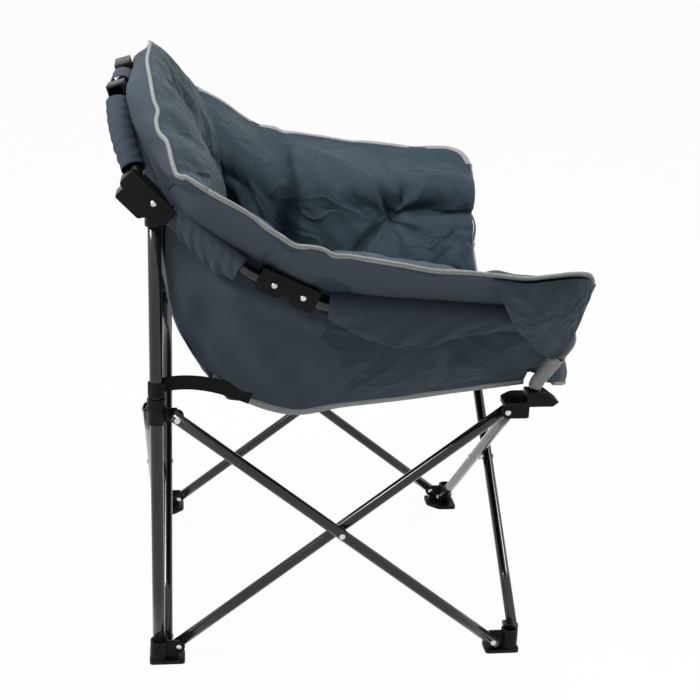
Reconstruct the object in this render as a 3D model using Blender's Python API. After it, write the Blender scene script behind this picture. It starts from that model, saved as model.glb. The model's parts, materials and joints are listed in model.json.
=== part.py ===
"""Folding padded camp chair: a four-way scissor frame, a jointed arm and back rail, and a padded tub seat.

Metres, +Z up. The chair faces -Y, the sitter's left is +X and the origin is on the floor, under the middle.
"""
import math

import bmesh
import bpy
from mathutils import Matrix, Vector

# Frame layout
LEG_HALF = 0.275
PIVOT_INSET = 0.030
PIVOT_LOW = 0.023
PIVOT_HIGH = 0.404
LEG_DIAMETER = 0.019
LEG_WALL = 0.0012
LEG_TOP = 0.705
BRACE_DIAMETER = 0.017
BRACE_WALL = 0.0012
BRACE_OVERHANG = 0.009
RAIL_DIAMETER = 0.017
RAIL_WALL = 0.0012
RAIL_OVERHANG = 0.007

# Clearances
FIT_GAP = 0.0003
SLIDE_GAP = 0.0005
SLOT_GAP = 0.0008
SLACK_HOLE_GAP = 0.0021

# Moulded fittings
CHEEK_THICKNESS = 0.006
LOBE_RADIUS = 0.0095
SOCKET_WALL = 0.0035
FLANGE_THICKNESS = 0.006
FLANGE_OUTER = 0.0145
FLANGE_INNER = 0.0395
FLANGE_CORNER = 0.005
FLANGE_MITRE = 0.019
FOOT_SOCKET_FLOOR = 0.004
FOOT_CUP_HEIGHT = 0.036
RIB_THICKNESS = 0.003
RIB_REACH = 0.009
SLIDER_BELOW = 0.011
SLIDER_ABOVE = 0.028
SLIDER_BAND_HEIGHT = 0.004
SLIDER_BAND_PROUD = 0.0016
CHEEK_DEPTH = 0.012
BRACKET_PLATE = 0.007
BRACKET_FORK_HEIGHT = 0.015
BRACKET_FORK_WALL = 0.0045
BRACKET_FORK_FRONT = 0.026
BRACKET_NOSE = 0.009

# Rivets
RIVET_SHANK = 0.0048
RIVET_HEAD = 0.0096
RIVET_DOME = 0.0019
SPACER_DIAMETER = 0.0125
RAIL_PIN = 0.005
RAIL_PIN_PROUD = 0.0012

# Top bracket on each rear leg
TOP_INNER = 0.018
TOP_OUTER = 0.029
TOP_SLOPE = math.radians(-45.0)
TOP_CHANNEL_BACK = 0.052
TOP_CHANNEL_FRONT = 0.032
TOP_CHANNEL_RISE = 0.013
TOP_CHANNEL_DROP = 0.014
TOP_BLOCK_BACK = 0.043
TOP_BLOCK_DROP = 0.031
TOP_SOCKET_DROP = 0.018
ARM_TURN = math.radians(135.0)
BACK_TURN = math.radians(70.0)

# Arm rail, for the sitter's left; the other side is its mirror image
ARM_PIVOT = Vector((LEG_HALF + 0.014, LEG_HALF, LEG_TOP + 0.019))
ARM_KNUCKLE_X = LEG_HALF + 0.054
ARM_KNUCKLE_REAR = Vector((ARM_KNUCKLE_X, LEG_HALF - 0.163, LEG_TOP - 0.0815))
ARM_KNUCKLE_FRONT = Vector((ARM_KNUCKLE_X, LEG_HALF - 0.203, LEG_TOP - 0.0995))
ARM_AXIS_DROP = 0.004
ARM_STRAIGHT = 0.034
ARM_CORNER = Vector((LEG_HALF + 0.099, -LEG_HALF - 0.047, LEG_TOP - 0.131))
ARM_CORNER_RADIUS = 0.045
POST_Y = -LEG_HALF - 0.0085
POST_STRAIGHT = 0.024
POST_BEND_RADIUS = 0.030
KNUCKLE_END = 0.022
KNUCKLE_WALL = 0.003
KNUCKLE_TOP = 0.0105
KNUCKLE_BOTTOM = 0.019
KNUCKLE_NOTCH = 0.010

# Back rail
BACK_PIVOT = Vector((LEG_HALF - 0.007, LEG_HALF + 0.0215, LEG_TOP + 0.045))
BACK_ELBOW = Vector((LEG_HALF - 0.133, LEG_HALF + 0.051, LEG_TOP + 0.1415))
BACK_BOW = 0.006
BACK_KNUCKLE_OUT = 0.021
BACK_KNUCKLE_IN = 0.050
BACK_SOCKET_DEPTH = 0.030
BACK_KNUCKLE_TOP = 0.0145
BACK_KNUCKLE_BOTTOM = 0.0135

# Padded tub
SEAT_HALF = LEG_HALF - 0.032
SEAT_FRONT = -LEG_HALF - 0.093
SEAT_UNDERSIDE = PIVOT_HIGH + 0.003
SEAT_PAD = 0.064
SEAT_FULLNESS = 3.2
SEAT_LIP_DROP = 0.010
SEAT_FRONT_RISE = 0.012
SEAM_LOW = PIVOT_HIGH + 0.005
SEAM_LOW_Y = 0.037
SEAM_RISE = 0.030
SEAM_RUN = LEG_HALF - 0.023
BACK_HALF = LEG_HALF - 0.017
BACK_TOP = LEG_TOP + 0.193
BACK_SHOULDER_DROP = 0.108
BACK_FLARE = 0.172
BACK_FLARE_POWER = 6.0
BACK_FOOT_Y = LEG_HALF - 0.063
BACK_HEAD_Y = LEG_HALF - 0.003
BACK_WRAP = 0.040
BACK_PAD = 0.078
BACK_FRONT_SHARE = 0.70
ARM_PAD_REAR = LEG_HALF - 0.115
ARM_PAD_REAR_LEAN = 0.052
ARM_PAD_FRONT = -LEG_HALF - 0.030
ARM_PAD_TOP = LEG_TOP - 0.037
ARM_PAD_TOP_X = LEG_HALF + 0.186
ARM_PAD_REAR_RISE = 0.115
ARM_PAD_REAR_RUN = 0.20
ARM_PAD_DRAW_IN = 0.020
ARM_PAD_DRAW_POWER = 2.2
ARM_PAD_BESIDE_RAIL = 0.040
ARM_PAD_OVER_RAIL = 0.022
ARM_PAD_FLARE = 1.25
ARM_PAD_UPRIGHT = 1.8
ARM_PAD_IN = 0.042
ARM_PAD_OUT = 0.011
ARM_TUFT = (0.60, 0.60)
BACK_TUFTS = ((0.5, 0.66), (0.27, 0.46), (0.73, 0.46))
PAD_EDGE = 0.005
TUFT_DEPTH = 0.018
TUFT_RADIUS = 0.045
PANEL_THICKNESS = 0.004
PANEL_SEAT = 0.0006
PANEL_SLACK = 0.004
PANEL_FOLD = 0.0034
SIDE_PANEL_FRONT = -LEG_HALF + 0.013
SIDE_PANEL_LEAN = 0.080
PANEL_INSET_X = LEG_HALF + 0.030
PANEL_REAR_DRAW = 0.15
PANEL_REAR_SLOPE = 0.385
PANEL_RAIL_REAR = 0.020
PANEL_RAIL_CLEAR = 0.050
PANEL_FOLDS = 3
STRAP_WIDTH = 0.022
STRAP_THICKNESS = 0.002
STRAP_RISE = 0.014
STRAP_TAIL_X = LEG_HALF - 0.014
STRAP_LOOP_GAP = 0.0005

# Facet counts
TUBE_STEPS = 2
ROUND_SIDES = 16
RIVET_SIDES = 8
HOLE_SIDES = 8
BEND_STEPS = 4
SWEEP_STEPS = 6
SEAT_COLUMNS = 14
SEAT_ROWS = 16
BACK_COLUMNS = 16
BACK_ROWS = 14
BACK_PANEL_ROWS = 13
ARM_COLUMNS = 14
ARM_ROWS = 9
SIDE_PANEL_ROWS = 6

SIDES = (("left", 1), ("right", -1))
ELBOW_GAPS = {"left": FIT_GAP, "right": SLACK_HOLE_GAP}
X_AXIS = Vector((1, 0, 0))
Y_AXIS = Vector((0, 1, 0))
Z_AXIS = Vector((0, 0, 1))

# Values that follow from the ones above
BRACE_RADIUS = BRACE_DIAMETER / 2
BRACE_PLANE = CHEEK_THICKNESS / 2 + FIT_GAP + BRACE_RADIUS
BRACE_END_REACH = math.hypot(BRACE_OVERHANG, BRACE_RADIUS)
RAIL_RADIUS = RAIL_DIAMETER / 2
RAIL_END_REACH = math.hypot(RAIL_OVERHANG, RAIL_RADIUS)
RIVET_HOLE = RIVET_SHANK + 2 * FIT_GAP
PLATE_LOW = PIVOT_HIGH + BRACE_END_REACH + SLOT_GAP
POST_FOOT = Vector((LEG_HALF, POST_Y, PLATE_LOW + BRACKET_PLATE + SLIDE_GAP))
ARM_PAD_FOOT_X = SEAT_HALF + PAD_EDGE / 2
SEAT_REAR = BACK_FOOT_Y - PAD_EDGE / 2 - 3 * PANEL_SEAT
BACK_RAKE = math.atan2(BACK_ELBOW.y - BACK_PIVOT.y, BACK_ELBOW.z - BACK_PIVOT.z)
BACK_NORMAL = Vector((0, math.cos(BACK_RAKE), -math.sin(BACK_RAKE)))
BACK_UP = Vector((0, math.sin(BACK_RAKE), math.cos(BACK_RAKE)))


def clear_scene():
    """Start from an empty scene."""
    for thing in list(bpy.data.objects):
        bpy.data.objects.remove(thing, do_unlink=True)


def make_material(name, colour, roughness, metallic):
    """A plain Principled finish."""
    material = bpy.data.materials.new(name)
    material.use_nodes = True
    shader = material.node_tree.nodes["Principled BSDF"]
    shader.inputs["Base Color"].default_value = (*colour, 1.0)
    shader.inputs["Roughness"].default_value = roughness
    shader.inputs["Metallic"].default_value = metallic
    material.diffuse_color = (*colour, 1.0)
    return material


def make_materials():
    """The finishes that the chair's pieces share."""
    return {
        "tube": make_material("gloss_black_tube", (0.010, 0.010, 0.011), 0.22, 0.0),
        "plastic": make_material("moulded_black_plastic", (0.014, 0.014, 0.015), 0.55, 0.0),
        "rivet": make_material("rivet_steel", (0.72, 0.72, 0.72), 0.28, 1.0),
        "pad": make_material("padded_slate_cloth", (0.042, 0.064, 0.092), 0.85, 0.0),
        "shell": make_material("shell_slate_cloth", (0.034, 0.050, 0.072), 0.88, 0.0),
        "strap": make_material("black_webbing", (0.012, 0.012, 0.013), 0.90, 0.0),
    }


def mirrored(point, side):
    """The point on the given side, from its place on the sitter's left."""
    return Vector((point.x * side, point.y, point.z))


def new_object(name, mesh):
    """Link a mesh into the scene under its name."""
    thing = bpy.data.objects.new(name, mesh)
    bpy.context.scene.collection.objects.link(thing)
    return thing


def from_bmesh(name, bm):
    """Turn a closed bmesh into a linked object with its faces pointing out."""
    bmesh.ops.remove_doubles(bm, verts=bm.verts, dist=1e-6)
    bmesh.ops.recalc_face_normals(bm, faces=bm.faces)
    mesh = bpy.data.meshes.new(name)
    bm.to_mesh(mesh)
    bm.free()
    return new_object(name, mesh)


def bake(thing):
    """Replace an object's mesh by its evaluated one and drop its modifiers."""
    depsgraph = bpy.context.evaluated_depsgraph_get()
    mesh = bpy.data.meshes.new_from_object(thing.evaluated_get(depsgraph))
    thing.modifiers.clear()
    thing.data = mesh
    return thing


def combine(thing, other, operation):
    """Join a helper solid to a piece, or cut the piece by it, and remove the helper."""
    modifier = thing.modifiers.new(operation.lower(), "BOOLEAN")
    modifier.operation = operation
    modifier.solver = "EXACT"
    modifier.object = other
    bake(thing)
    bpy.data.objects.remove(other, do_unlink=True)
    return thing


def union(thing, *others):
    """Join helper solids to a piece."""
    for other in others:
        combine(thing, other, "UNION")
    return thing


def cut(thing, *others):
    """Cut a piece by helper solids."""
    for other in others:
        combine(thing, other, "DIFFERENCE")
    return thing


def finish_piece(thing, material, origin, smooth_angle=35.0):
    """Give a piece its finish, put its origin on its joint and shade it."""
    thing.data.materials.clear()
    thing.data.materials.append(material)
    thing.data.transform(Matrix.Translation(-origin))
    thing.location = origin
    thing.data.shade_smooth()
    thing.data.set_sharp_from_angle(angle=math.radians(smooth_angle))
    return thing


def turned_to(axis):
    """The rotation that takes +Z to an axis."""
    return Z_AXIS.rotation_difference(axis.normalized()).to_matrix().to_4x4()


def cylinder(start, end, diameter, sides=ROUND_SIDES):
    """A solid round bar between two points."""
    bm = bmesh.new()
    span = end - start
    bmesh.ops.create_cone(
        bm, cap_ends=True, segments=sides, radius1=diameter / 2, radius2=diameter / 2, depth=span.length)
    bm.transform(Matrix.Translation((start + end) / 2) @ turned_to(span))
    return from_bmesh("bar", bm)


def through_hole(centre, axis, diameter, reach):
    """A cutter for a hole that runs the same way on both sides of a centre."""
    step = axis.normalized() * reach
    return cylinder(centre - step, centre + step, diameter, HOLE_SIDES)


def extrusion(outline, origin, across, up, depth_axis, depth, corner=0.0):
    """A flat outline in the plane of across and up, pulled out evenly to both sides along a third axis."""
    bm = bmesh.new()
    base = origin - depth_axis * (depth / 2)
    corners = [bm.verts.new(base + across * a + up * b) for a, b in outline]
    face = bm.faces.new(corners)
    pulled = bmesh.ops.extrude_face_region(bm, geom=[face])
    moved = [item for item in pulled["geom"] if isinstance(item, bmesh.types.BMVert)]
    bmesh.ops.translate(bm, verts=moved, vec=depth_axis * depth)
    if corner:
        long_edges = [e for e in bm.edges
                      if abs((e.verts[1].co - e.verts[0].co).normalized().dot(depth_axis)) > 0.999]
        bmesh.ops.bevel(
            bm, geom=long_edges, offset=corner, segments=2, profile=0.5, affect="EDGES", material=-1)
    return from_bmesh("extrusion", bm)


def lobe_outline(reach, radius, low, high, steps=8):
    """A cheek's outline: square at the root, round about a pivot at a distance from the root."""
    points = [(0.0, low), (reach, low)] if low < -radius else [(0.0, low)]
    start = -math.pi / 2
    for step in range(steps + 1):
        angle = start + math.pi * step / steps
        points.append((reach + radius * math.cos(angle), radius * math.sin(angle)))
    if high > radius:
        points.append((reach, high))
    points.append((0.0, high))
    return points


def rounded_path(points, radii):
    """A run of straight lengths whose inner corners are arcs of the given radii."""
    path = [points[0]]
    for before, corner, after, radius in zip(points, points[1:], points[2:], radii):
        back = (before - corner).normalized()
        ahead = (after - corner).normalized()
        half = back.angle(ahead) / 2
        trim = radius / math.tan(half)
        centre = corner + (back + ahead).normalized() * (radius / math.sin(half))
        first = (corner + back * trim - centre).normalized()
        last = (corner + ahead * trim - centre).normalized()
        for step in range(BEND_STEPS + 1):
            path.append(centre + first.slerp(last, step / BEND_STEPS) * radius)
    path.append(points[-1])
    return path


def tube(name, path, diameter, wall):
    """A thin-walled round tube, open at both ends, along a path."""
    curve = bpy.data.curves.new(name, "CURVE")
    curve.dimensions = "3D"
    curve.bevel_depth = diameter / 2
    curve.bevel_resolution = TUBE_STEPS
    curve.use_fill_caps = False
    spline = curve.splines.new("POLY")
    spline.points.add(len(path) - 1)
    for point, place in zip(spline.points, path):
        point.co = (*place, 1.0)
    guide = new_object(name + "_guide", curve)
    skin = bpy.data.meshes.new_from_object(guide)
    bpy.data.objects.remove(guide, do_unlink=True)
    bm = bmesh.new()
    bm.from_mesh(skin)
    bmesh.ops.remove_doubles(bm, verts=bm.verts, dist=1e-6)
    caps = bmesh.ops.holes_fill(bm, edges=bm.edges, sides=0)["faces"]
    bmesh.ops.recalc_face_normals(bm, faces=bm.faces)
    bmesh.ops.delete(bm, geom=caps, context="FACES_ONLY")
    bm.to_mesh(skin)
    bm.free()
    thing = new_object(name, skin)
    solidify = thing.modifiers.new("wall", "SOLIDIFY")
    solidify.thickness = wall
    solidify.offset = -1.0
    solidify.use_even_offset = True
    return bake(thing)


def rivet(name, tail, head, spacer=None):
    """A domed rivet between two seats, with an optional spacer collar given by its two ends along the shank."""
    span = head - tail
    length = span.length
    shank = RIVET_SHANK / 2
    rim = RIVET_HEAD / 2
    profile = [(0.0, -RIVET_DOME), (rim * 0.7, -RIVET_DOME * 0.75), (rim, 0.0), (shank, 0.0)]
    if spacer:
        collar = SPACER_DIAMETER / 2
        profile += [(shank, spacer[0]), (collar, spacer[0]), (collar, spacer[1]), (shank, spacer[1])]
    profile += [(shank, length), (rim, length), (rim * 0.7, length + RIVET_DOME * 0.75)]
    profile += [(0.0, length + RIVET_DOME)]
    bm = bmesh.new()
    row = [bm.verts.new((r, 0, z)) for r, z in profile]
    edges = [bm.edges.new(pair) for pair in zip(row, row[1:])]
    bmesh.ops.spin(
        bm, geom=row + edges, cent=(0, 0, 0), axis=Z_AXIS, angle=2 * math.pi, steps=RIVET_SIDES, use_merge=True)
    bm.transform(Matrix.Translation(tail) @ turned_to(span))
    return from_bmesh(name, bm)


def flange_outline():
    """A corner fitting's plan: square outside, mitred across its inner corner. First value runs inwards."""
    low, high = -FLANGE_OUTER, FLANGE_INNER
    return [(low, low), (high, low), (high, FLANGE_MITRE), (FLANGE_MITRE, high), (low, high)]


def corner_axes(side, end):
    """The two inward directions at a corner: across the chair, and along it."""
    return Vector((-side, 0, 0)), Vector((0, -end, 0))


def corner_cheeks(thing, corner, side, end, pivot_z, low, high):
    """Add a fitting's two rounded cheeks, one for a side brace and one for a front or rear brace."""
    inward_x, inward_y = corner_axes(side, end)
    root = Vector((corner.x, corner.y, pivot_z))
    outline = lobe_outline(PIVOT_INSET, LOBE_RADIUS, low, high)
    union(thing,
          extrusion(outline, root, inward_y, Z_AXIS, inward_x, CHEEK_THICKNESS),
          extrusion(outline, root, inward_x, Z_AXIS, inward_y, CHEEK_THICKNESS))


def corner_pivots(corner, side, end, pivot_z):
    """A fitting's two rivet centres on its cheeks, each with its axis pointing out of the chair."""
    inward_x, inward_y = corner_axes(side, end)
    root = Vector((corner.x, corner.y, pivot_z))
    return (root + inward_y * PIVOT_INSET, -inward_x), (root + inward_x * PIVOT_INSET, -inward_y)


def drill_pivots(thing, corner, side, end, pivot_z):
    """Drill a fitting's two rivet holes."""
    for centre, axis in corner_pivots(corner, side, end, pivot_z):
        cut(thing, through_hole(centre, axis, RIVET_HOLE, CHEEK_THICKNESS * 2))


def make_foot(name, side, end, material):
    """A moulded foot: mitred flange, leg cup with corner ribs, and two brace cheeks."""
    corner = Vector((side * LEG_HALF, end * LEG_HALF, 0))
    inward_x, inward_y = corner_axes(side, end)
    middle = corner + Z_AXIS * (FLANGE_THICKNESS / 2)
    foot = extrusion(flange_outline(), middle, inward_x, inward_y, Z_AXIS, FLANGE_THICKNESS, FLANGE_CORNER)
    foot.name = name
    cup = LEG_DIAMETER + 2 * FIT_GAP + 2 * SOCKET_WALL
    union(foot, cylinder(corner + Z_AXIS * FLANGE_THICKNESS / 2, corner + Z_AXIS * FOOT_CUP_HEIGHT, cup))
    corner_cheeks(foot, corner, side, end, PIVOT_LOW, FLANGE_THICKNESS / 2 - PIVOT_LOW, LOBE_RADIUS)
    rib = cup / 2 + RIB_REACH
    rib_top = FOOT_CUP_HEIGHT * 0.75
    outline = [(0, FLANGE_THICKNESS / 2), (rib, FLANGE_THICKNESS / 2), (rib, FLANGE_THICKNESS),
               (cup / 2, rib_top), (0, rib_top)]
    diagonal = (inward_x + inward_y).normalized()
    across = Vector((-diagonal.y, diagonal.x, 0))
    union(foot, extrusion(outline, corner, diagonal, Z_AXIS, across, RIB_THICKNESS))
    bore = LEG_DIAMETER + 2 * FIT_GAP
    top = corner + Z_AXIS * (FOOT_CUP_HEIGHT * 2)
    cut(foot, cylinder(corner + Z_AXIS * FOOT_SOCKET_FLOOR, top, bore))
    drill_pivots(foot, corner, side, end, PIVOT_LOW)
    return finish_piece(foot, material, corner)


def make_slider(name, side, material):
    """The collar that runs up a rear leg, with a grip band and two brace cheeks."""
    corner = Vector((side * LEG_HALF, LEG_HALF, 0))
    low = corner + Z_AXIS * (PIVOT_HIGH - SLIDER_BELOW)
    high = corner + Z_AXIS * (PIVOT_HIGH + SLIDER_ABOVE)
    bore = LEG_DIAMETER + 2 * SLIDE_GAP
    outside = bore + 2 * SOCKET_WALL
    slider = cylinder(low, high, outside)
    slider.name = name
    band = corner + Z_AXIS * (PIVOT_HIGH + LOBE_RADIUS + SLIDER_BAND_HEIGHT)
    half = Z_AXIS * (SLIDER_BAND_HEIGHT / 2)
    union(slider, cylinder(band - half, band + half, outside + 2 * SLIDER_BAND_PROUD))
    corner_cheeks(slider, corner, side, 1, PIVOT_HIGH, -LOBE_RADIUS, CHEEK_DEPTH)
    margin = Z_AXIS * SLIDER_ABOVE
    cut(slider, cylinder(low - margin, high + margin, bore))
    drill_pivots(slider, corner, side, 1, PIVOT_HIGH)
    return finish_piece(slider, material, corner + Z_AXIS * PIVOT_HIGH)


def make_front_bracket(name, side, material):
    """The upper front corner: a plate over two brace cheeks, with an open-fronted fork for the arm post."""
    corner = Vector((side * LEG_HALF, -LEG_HALF, 0))
    inward_x, inward_y = corner_axes(side, -1)
    middle = corner + Z_AXIS * (PLATE_LOW + BRACKET_PLATE / 2)
    bracket = extrusion(flange_outline(), middle, inward_x, inward_y, Z_AXIS, BRACKET_PLATE, FLANGE_CORNER)
    bracket.name = name
    slot_half = RAIL_RADIUS + SLOT_GAP
    fork_half = slot_half + BRACKET_FORK_WALL
    seat = mirrored(POST_FOOT, side)
    plate_mid = PLATE_LOW + BRACKET_PLATE / 2
    fork_top = seat.z + BRACKET_FORK_HEIGHT
    nose = BRACKET_FORK_FRONT + BRACKET_NOSE
    outline = [(fork_half, plate_mid), (fork_half, fork_top), (-BRACKET_FORK_FRONT * 0.55, fork_top),
               (-nose, PLATE_LOW + BRACKET_PLATE), (-BRACKET_FORK_FRONT, PLATE_LOW), (0, PLATE_LOW)]
    root = Vector((seat.x, seat.y, 0))
    union(bracket, extrusion(outline, root, Y_AXIS, Z_AXIS, X_AXIS, 2 * fork_half))
    corner_cheeks(bracket, corner, side, -1, PIVOT_HIGH, -LOBE_RADIUS, plate_mid - PIVOT_HIGH)
    floor = PLATE_LOW + BRACKET_PLATE
    open_top = fork_top + BRACKET_FORK_HEIGHT
    slot = [(slot_half, floor), (slot_half, open_top), (-2 * nose, open_top), (-2 * nose, floor)]
    cut(bracket, extrusion(slot, root, Y_AXIS, Z_AXIS, X_AXIS, 2 * slot_half))
    drill_pivots(bracket, corner, side, -1, PIVOT_HIGH)
    return finish_piece(bracket, material, corner_pivots(corner, side, -1, PIVOT_HIGH)[0][0])


def rail_room(pivot, along, up, turn):
    """A cutter for the room that a rail end needs about its pin as it turns from along towards up."""
    half = RAIL_RADIUS + SLOT_GAP
    room = RAIL_END_REACH + SLOT_GAP
    far = 5 * room
    edge = math.asin(half / room)
    outline = [(far, -half)]
    start, end = -edge, turn + edge - 2 * math.pi
    for step in range(SWEEP_STEPS + 1):
        angle = start + (end - start) * step / SWEEP_STEPS
        outline.append((room * math.cos(angle), room * math.sin(angle)))
    outline.append((far * math.cos(turn) - half * math.sin(turn), far * math.sin(turn) + half * math.cos(turn)))
    outline.append((2 * far * math.cos(turn / 2), 2 * far * math.sin(turn / 2)))
    return extrusion(outline, pivot, along, up, along.cross(up), 2 * half)


def make_top_bracket(name, side, material):
    """The fitting on a rear leg's top: a sloped channel for the arm and back rails over a leg socket."""
    arm = mirrored(ARM_PIVOT, side)
    back = mirrored(BACK_PIVOT, side)
    leg = Vector((side * LEG_HALF, LEG_HALF, 0))
    down = Vector((0, -math.cos(TOP_SLOPE), math.sin(TOP_SLOPE)))
    up = down.cross(X_AXIS)
    width = TOP_INNER + TOP_OUTER
    middle_x = leg.x + side * (TOP_OUTER - TOP_INNER) / 2
    origin = Vector((middle_x, arm.y, arm.z))
    channel = [(-TOP_CHANNEL_BACK, -TOP_CHANNEL_DROP), (TOP_CHANNEL_FRONT, -TOP_CHANNEL_DROP),
               (TOP_CHANNEL_FRONT, TOP_CHANNEL_RISE), (-TOP_CHANNEL_BACK, TOP_CHANNEL_RISE)]
    bracket = extrusion(channel, origin, down, up, X_AXIS, width, FLANGE_CORNER)
    bracket.name = name
    block = [(-TOP_BLOCK_BACK, -TOP_CHANNEL_DROP / 2), (-TOP_BLOCK_BACK, -TOP_BLOCK_DROP),
             (0.0, -TOP_BLOCK_DROP), (TOP_CHANNEL_FRONT / 2, -TOP_CHANNEL_DROP / 2)]
    union(bracket, extrusion(block, origin, down, up, X_AXIS, width - 2 * SOCKET_WALL, FLANGE_CORNER / 2))
    bore = LEG_DIAMETER + 2 * FIT_GAP
    socket_low = leg + Z_AXIS * (LEG_TOP - TOP_SOCKET_DROP)
    union(bracket, cylinder(socket_low, leg + Z_AXIS * LEG_TOP, bore + 2 * SOCKET_WALL))
    arm_along = Vector((0, ARM_KNUCKLE_REAR.y - ARM_PIVOT.y, ARM_KNUCKLE_REAR.z - ARM_PIVOT.z)).normalized()
    back_along = mirrored(BACK_ELBOW - BACK_PIVOT, side).normalized()
    cut(bracket, rail_room(arm, arm_along, arm_along.cross(X_AXIS), ARM_TURN),
        rail_room(back, back_along, back_along.cross(BACK_NORMAL) * -side, BACK_TURN))
    cut(bracket, cylinder(socket_low - Z_AXIS * TOP_SOCKET_DROP, leg + Z_AXIS * (LEG_TOP + FIT_GAP), bore))
    arm_pin = X_AXIS * (width / 2 + RAIL_PIN_PROUD)
    union(bracket, cylinder(origin - arm_pin, origin + arm_pin, RAIL_PIN, HOLE_SIDES))
    back_pin = BACK_NORMAL * (RAIL_RADIUS + SLOT_GAP + SOCKET_WALL)
    union(bracket, cylinder(back - back_pin, back + back_pin, RAIL_PIN, HOLE_SIDES))
    return finish_piece(bracket, material, leg + Z_AXIS * LEG_TOP)


def make_leg(name, side, material):
    """A rear leg, from its cup in the foot to its socket in the top bracket."""
    foot = Vector((side * LEG_HALF, LEG_HALF, FOOT_SOCKET_FLOOR + FIT_GAP))
    top = Vector((side * LEG_HALF, LEG_HALF, LEG_TOP))
    leg = tube(name, [foot, top], LEG_DIAMETER, LEG_WALL)
    return finish_piece(leg, material, foot)


def make_brace(name, low, high, axis, material):
    """A scissor brace between two rivet centres, drilled at both ends and at its crossing."""
    run = (high - low).normalized()
    brace = tube(name, [low - run * BRACE_OVERHANG, high + run * BRACE_OVERHANG], BRACE_DIAMETER, BRACE_WALL)
    for centre in (low, (low + high) / 2, high):
        cut(brace, through_hole(centre, axis, RIVET_HOLE, BRACE_DIAMETER))
    return finish_piece(brace, material, low)


def pivot_seats(pivot, axis, offset):
    """Where a rivet's two heads sit when a brace runs on the outer or the inner side of a cheek."""
    cheek_face = CHEEK_THICKNESS / 2 + FIT_GAP
    brace_face = BRACE_PLANE + BRACE_RADIUS + FIT_GAP
    return pivot - axis * (cheek_face * offset), pivot + axis * (brace_face * offset)


def make_scissor(names, low_pivots, high_pivots, axis, materials):
    """Two crossing braces, the outer one first, with their crossing rivet and spacer."""
    centres = []
    for name, low, high, offset in zip(names[:2], low_pivots, high_pivots, (1, -1)):
        shift = axis * (BRACE_PLANE * offset)
        make_brace(name, low + shift, high + shift, axis, materials["tube"])
        centres.append((low + high) / 2)
    reach = axis * (BRACE_PLANE + BRACE_RADIUS + FIT_GAP)
    centre = (centres[0] + centres[1]) / 2
    inner = 2 * BRACE_RADIUS + 2 * FIT_GAP
    collar = (inner, inner + CHEEK_THICKNESS)
    crossing = rivet(names[2], centre - reach, centre + reach, collar)
    finish_piece(crossing, materials["rivet"], centre)


def make_end_rivet(name, pivot, axis, offset, material):
    """The rivet that holds a brace's end to its cheek."""
    tail, head = pivot_seats(pivot, axis, offset)
    finish_piece(rivet(name, tail, head), material, pivot)


def make_frame(materials):
    """Legs, moulded corners, braces and rivets."""
    plastic = materials["plastic"]
    pivots = {}
    for label, side in SIDES:
        make_leg("rear_leg_" + label, side, materials["tube"])
        make_foot("rear_foot_" + label, side, 1, plastic)
        make_foot("front_foot_" + label, side, -1, plastic)
        make_slider("slider_" + label, side, plastic)
        make_front_bracket("front_bracket_" + label, side, plastic)
        make_top_bracket("top_bracket_" + label, side, plastic)
        rear = Vector((side * LEG_HALF, LEG_HALF, 0))
        front = Vector((side * LEG_HALF, -LEG_HALF, 0))
        pivots["rear_foot", label] = corner_pivots(rear, side, 1, PIVOT_LOW)
        pivots["slider", label] = corner_pivots(rear, side, 1, PIVOT_HIGH)
        pivots["front_foot", label] = corner_pivots(front, side, -1, PIVOT_LOW)
        pivots["front_bracket", label] = corner_pivots(front, side, -1, PIVOT_HIGH)
    for label, side in SIDES:
        low = [pivots["front_foot", label][0][0], pivots["rear_foot", label][0][0]]
        high = [pivots["slider", label][0][0], pivots["front_bracket", label][0][0]]
        names = ["side_brace_outer_" + label, "side_brace_inner_" + label, "side_cross_rivet_" + label]
        make_scissor(names, low, high, X_AXIS * side, materials)
    for end, foot, upper, axis in (("rear", "rear_foot", "slider", Y_AXIS),
                                   ("front", "front_foot", "front_bracket", -Y_AXIS)):
        start = ("left", "right") if end == "rear" else ("right", "left")
        low = [pivots[foot, label][1][0] for label in start]
        high = [pivots[upper, label][1][0] for label in reversed(start)]
        names = [end + "_brace_outer", end + "_brace_inner", end + "_cross_rivet"]
        make_scissor(names, low, high, axis, materials)
    outer_ends = {("slider", "left", 0), ("slider", "right", 0), ("front_foot", "left", 0),
                  ("front_foot", "right", 0), ("rear_foot", "left", 1), ("slider", "right", 1),
                  ("front_foot", "right", 1), ("front_bracket", "left", 1)}
    for (fitting, label), pair in pivots.items():
        for index, (pivot, axis) in enumerate(pair):
            place = ("side", "end")[index]
            offset = 1 if (fitting, label, index) in outer_ends else -1
            make_end_rivet(f"{fitting}_rivet_{place}_{label}", pivot, axis, offset, materials["rivet"])


def drop_axis(point):
    """The rail's centre line below a knuckle's pin."""
    return point - Z_AXIS * ARM_AXIS_DROP


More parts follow.
